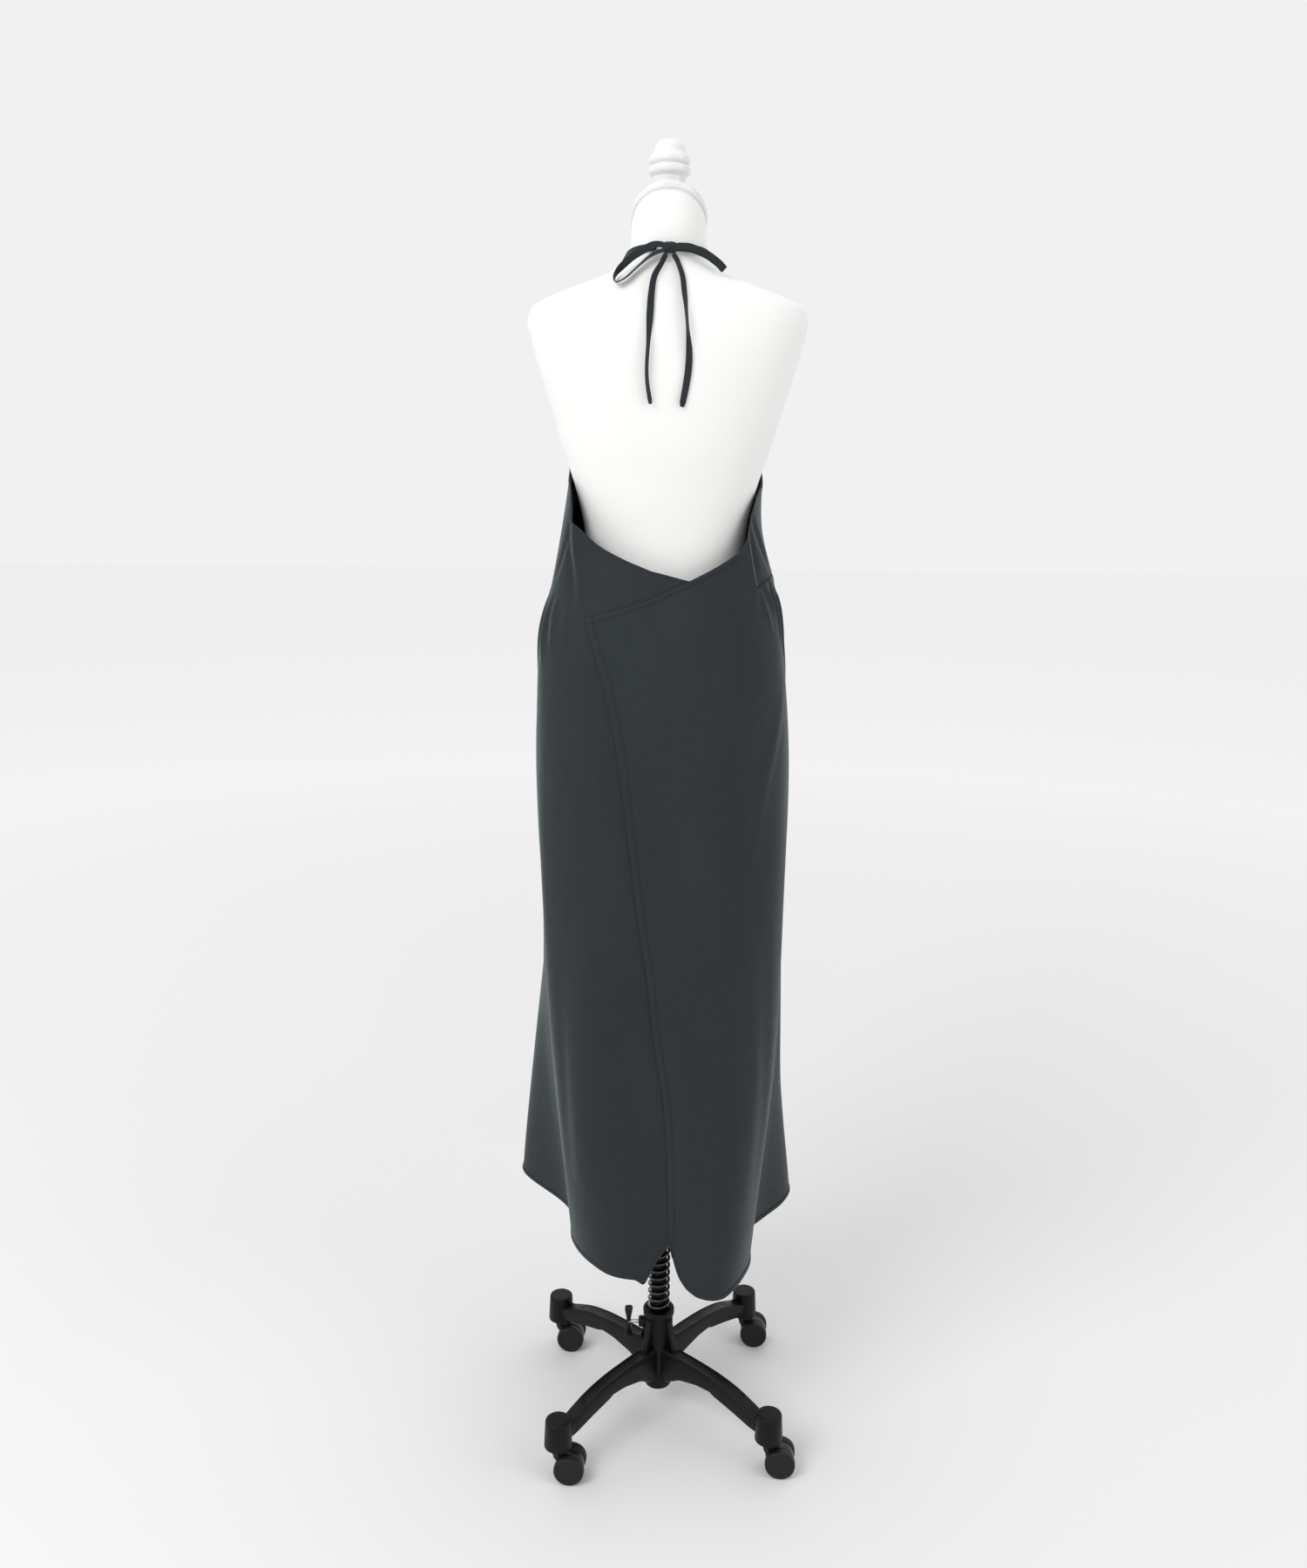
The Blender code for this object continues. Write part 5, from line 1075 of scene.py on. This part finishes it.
boss = tube("screw_boss", np.stack([boss_x + 0 * ring, boss_r * np.cos(ring), SCREW_Z + boss_r * np.sin(ring)], -1))
dress_up(boss, cast_black, "base", [])
print("base made of", 2 + 3 * len(LEG_TURN), "pieces")

# %% [markdown]
# ## The clamp screw
# A steel shaft with a black wing of moulded plastic holds the column at its height. The wing is a bow-tie
# outline with rounded rims: the outline shrinks toward both faces by the same quarter circle.

# %% Shaft and wing
shaft_x = np.linspace(-0.0127, -0.0460, 120)[:, None]
shaft_r = 0.0029 + 0.00022 * np.sin(shaft_x * 2 * math.pi / 0.0010)
shaft_turn = np.linspace(0.0, 2 * math.pi, 32, endpoint=False)
shaft = tube("clamp_shaft", np.stack([shaft_x + 0 * shaft_turn, shaft_r * np.cos(shaft_turn),
                                      SCREW_Z + shaft_r * np.sin(shaft_turn)], -1))
dress_up(shaft, chrome, "screw", ["clamp_screw"])
WING = np.array([(-0.0422, -0.0060), (-0.0405, -0.0160), (-0.0396, -0.0232), (-0.0418, -0.0260), (-0.0455, -0.0262),
                 (-0.0495, -0.0258), (-0.0515, -0.0232), (-0.0508, -0.0160), (-0.0490, -0.0060), (-0.0490, 0.0060),
                 (-0.0508, 0.0160), (-0.0515, 0.0232), (-0.0495, 0.0258), (-0.0455, 0.0262), (-0.0418, 0.0260),
                 (-0.0396, 0.0232), (-0.0405, 0.0160), (-0.0422, 0.0060), (-0.0422, -0.0060)])
wing_line = refine(WING, 81)[:-1]
wing_middle = np.array([-0.0455, 0.0])
slab = np.linspace(-1.0, 1.0, 13)[:, None]
shrink = 1 - 0.09 * (1 - np.sqrt(np.clip(1 - slab**6, 0.0, 1.0)))
outline_x = wing_middle[0] + (wing_line[None, :, 0] - wing_middle[0]) * shrink
outline_z = wing_line[None, :, 1] * shrink + SCREW_Z
wing = tube("clamp_wing", np.stack([outline_x, 0.0028 * slab + 0 * outline_x, outline_z], -1))
dress_up(wing, castor_black, "screw", [])

# %% [markdown]
# ## Castors
# Each castor has two discs on one axle with a hood between them. The discs are turned about the axle: a
# profile of distance along it and radius. The hood is an outline with a rounded back, drawn out sideways.

# %% Four castors
WHEEL_R, AXLE_R, TRAIL = 0.0215, 0.0030, 0.0170
CASTOR_YAW = math.radians(5.0)
HOOD_HALF, DISC_OUT = 0.0075, 0.0200
roll = np.array([math.cos(CASTOR_YAW), -math.sin(CASTOR_YAW), 0.0])
axle = np.array([math.sin(CASTOR_YAW), math.cos(CASTOR_YAW), 0.0])
up = np.array([0.0, 0.0, 1.0])
HOOD_LINE = np.array([(-0.0195, -0.0060), (-0.0190, 0.0060), (-0.0240, 0.0150), (-0.0240, 0.0265), (-0.0100, 0.0265),
                      (0.0030, 0.0215), (0.0130, 0.0165), (0.0192, 0.0060), (0.0195, -0.0060), (0.0120, -0.0110),
                      (-0.0120, -0.0110), (-0.0195, -0.0060)])
hood_line = refine(HOOD_LINE, 89)[:-1]
hood_slab = np.linspace(-1.0, 1.0, 15)[:, None]
hood_shrink = 1 - 0.10 * (1 - np.sqrt(np.clip(1 - hood_slab**6, 0.0, 1.0)))
hood_a, hood_b = hood_line[None, :, 0] * hood_shrink, hood_line[None, :, 1] * hood_shrink
# a row per ring of one disc: place along the axle, radius
DISC = np.array([(HOOD_HALF + 0.0006, 0.0040), (HOOD_HALF + 0.0006, 0.0195), (HOOD_HALF + 0.0010, 0.0208),
                 (HOOD_HALF + 0.0020, 0.02145), (0.0170, 0.0215), (0.0186, 0.0211), (0.0196, 0.0201), (DISC_OUT, 0.0186),
                 (DISC_OUT, 0.0172), (0.0194, 0.0166), (0.0190, 0.0150), (0.0190, 0.0050), (0.0194, 0.0040),
                 (0.0194, 0.0010)])
disc_turn = np.linspace(0.0, 2 * math.pi, 72, endpoint=False)[:, None]
circle = np.cos(disc_turn) * roll + np.sin(disc_turn) * up
for tag, place_xy in sockets.items():
    centre = np.array([*place_xy, WHEEL_R]) + TRAIL * roll
    body = (centre + hood_a[..., None] * roll + hood_b[..., None] * up
            + (HOOD_HALF * hood_slab + 0 * hood_a)[..., None] * axle)
    hood = tube("hood_" + tag, body)
    dress_up(hood, castor_black, "castor_" + tag, ["castor_hood_" + tag])
    stem = turned("stem_" + tag, [(0.0085, 0.0395), (0.0085, 0.0500), (0.0055, 0.0502), (0.0055, 0.0680)], place_xy, 32)
    dress_up(stem, castor_black, "castor_" + tag, [])
    for side_sign, side_name in ((1.0, "far"), (-1.0, "near")):
        rings = centre + side_sign * DISC[:, None, :1] * axle + DISC[:, None, 1:] * circle
        wheel = tube("disc_" + side_name + "_" + tag, rings)
        nodes = ["castor_wheels_" + tag] if side_sign > 0 else []
        dress_up(wheel, tread, "wheels_" + tag, nodes)
print("castors", list(sockets))

# %% Sizes and finish
low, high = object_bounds()
print("visual box", [round(v, 3) for v in (*low, *high)])
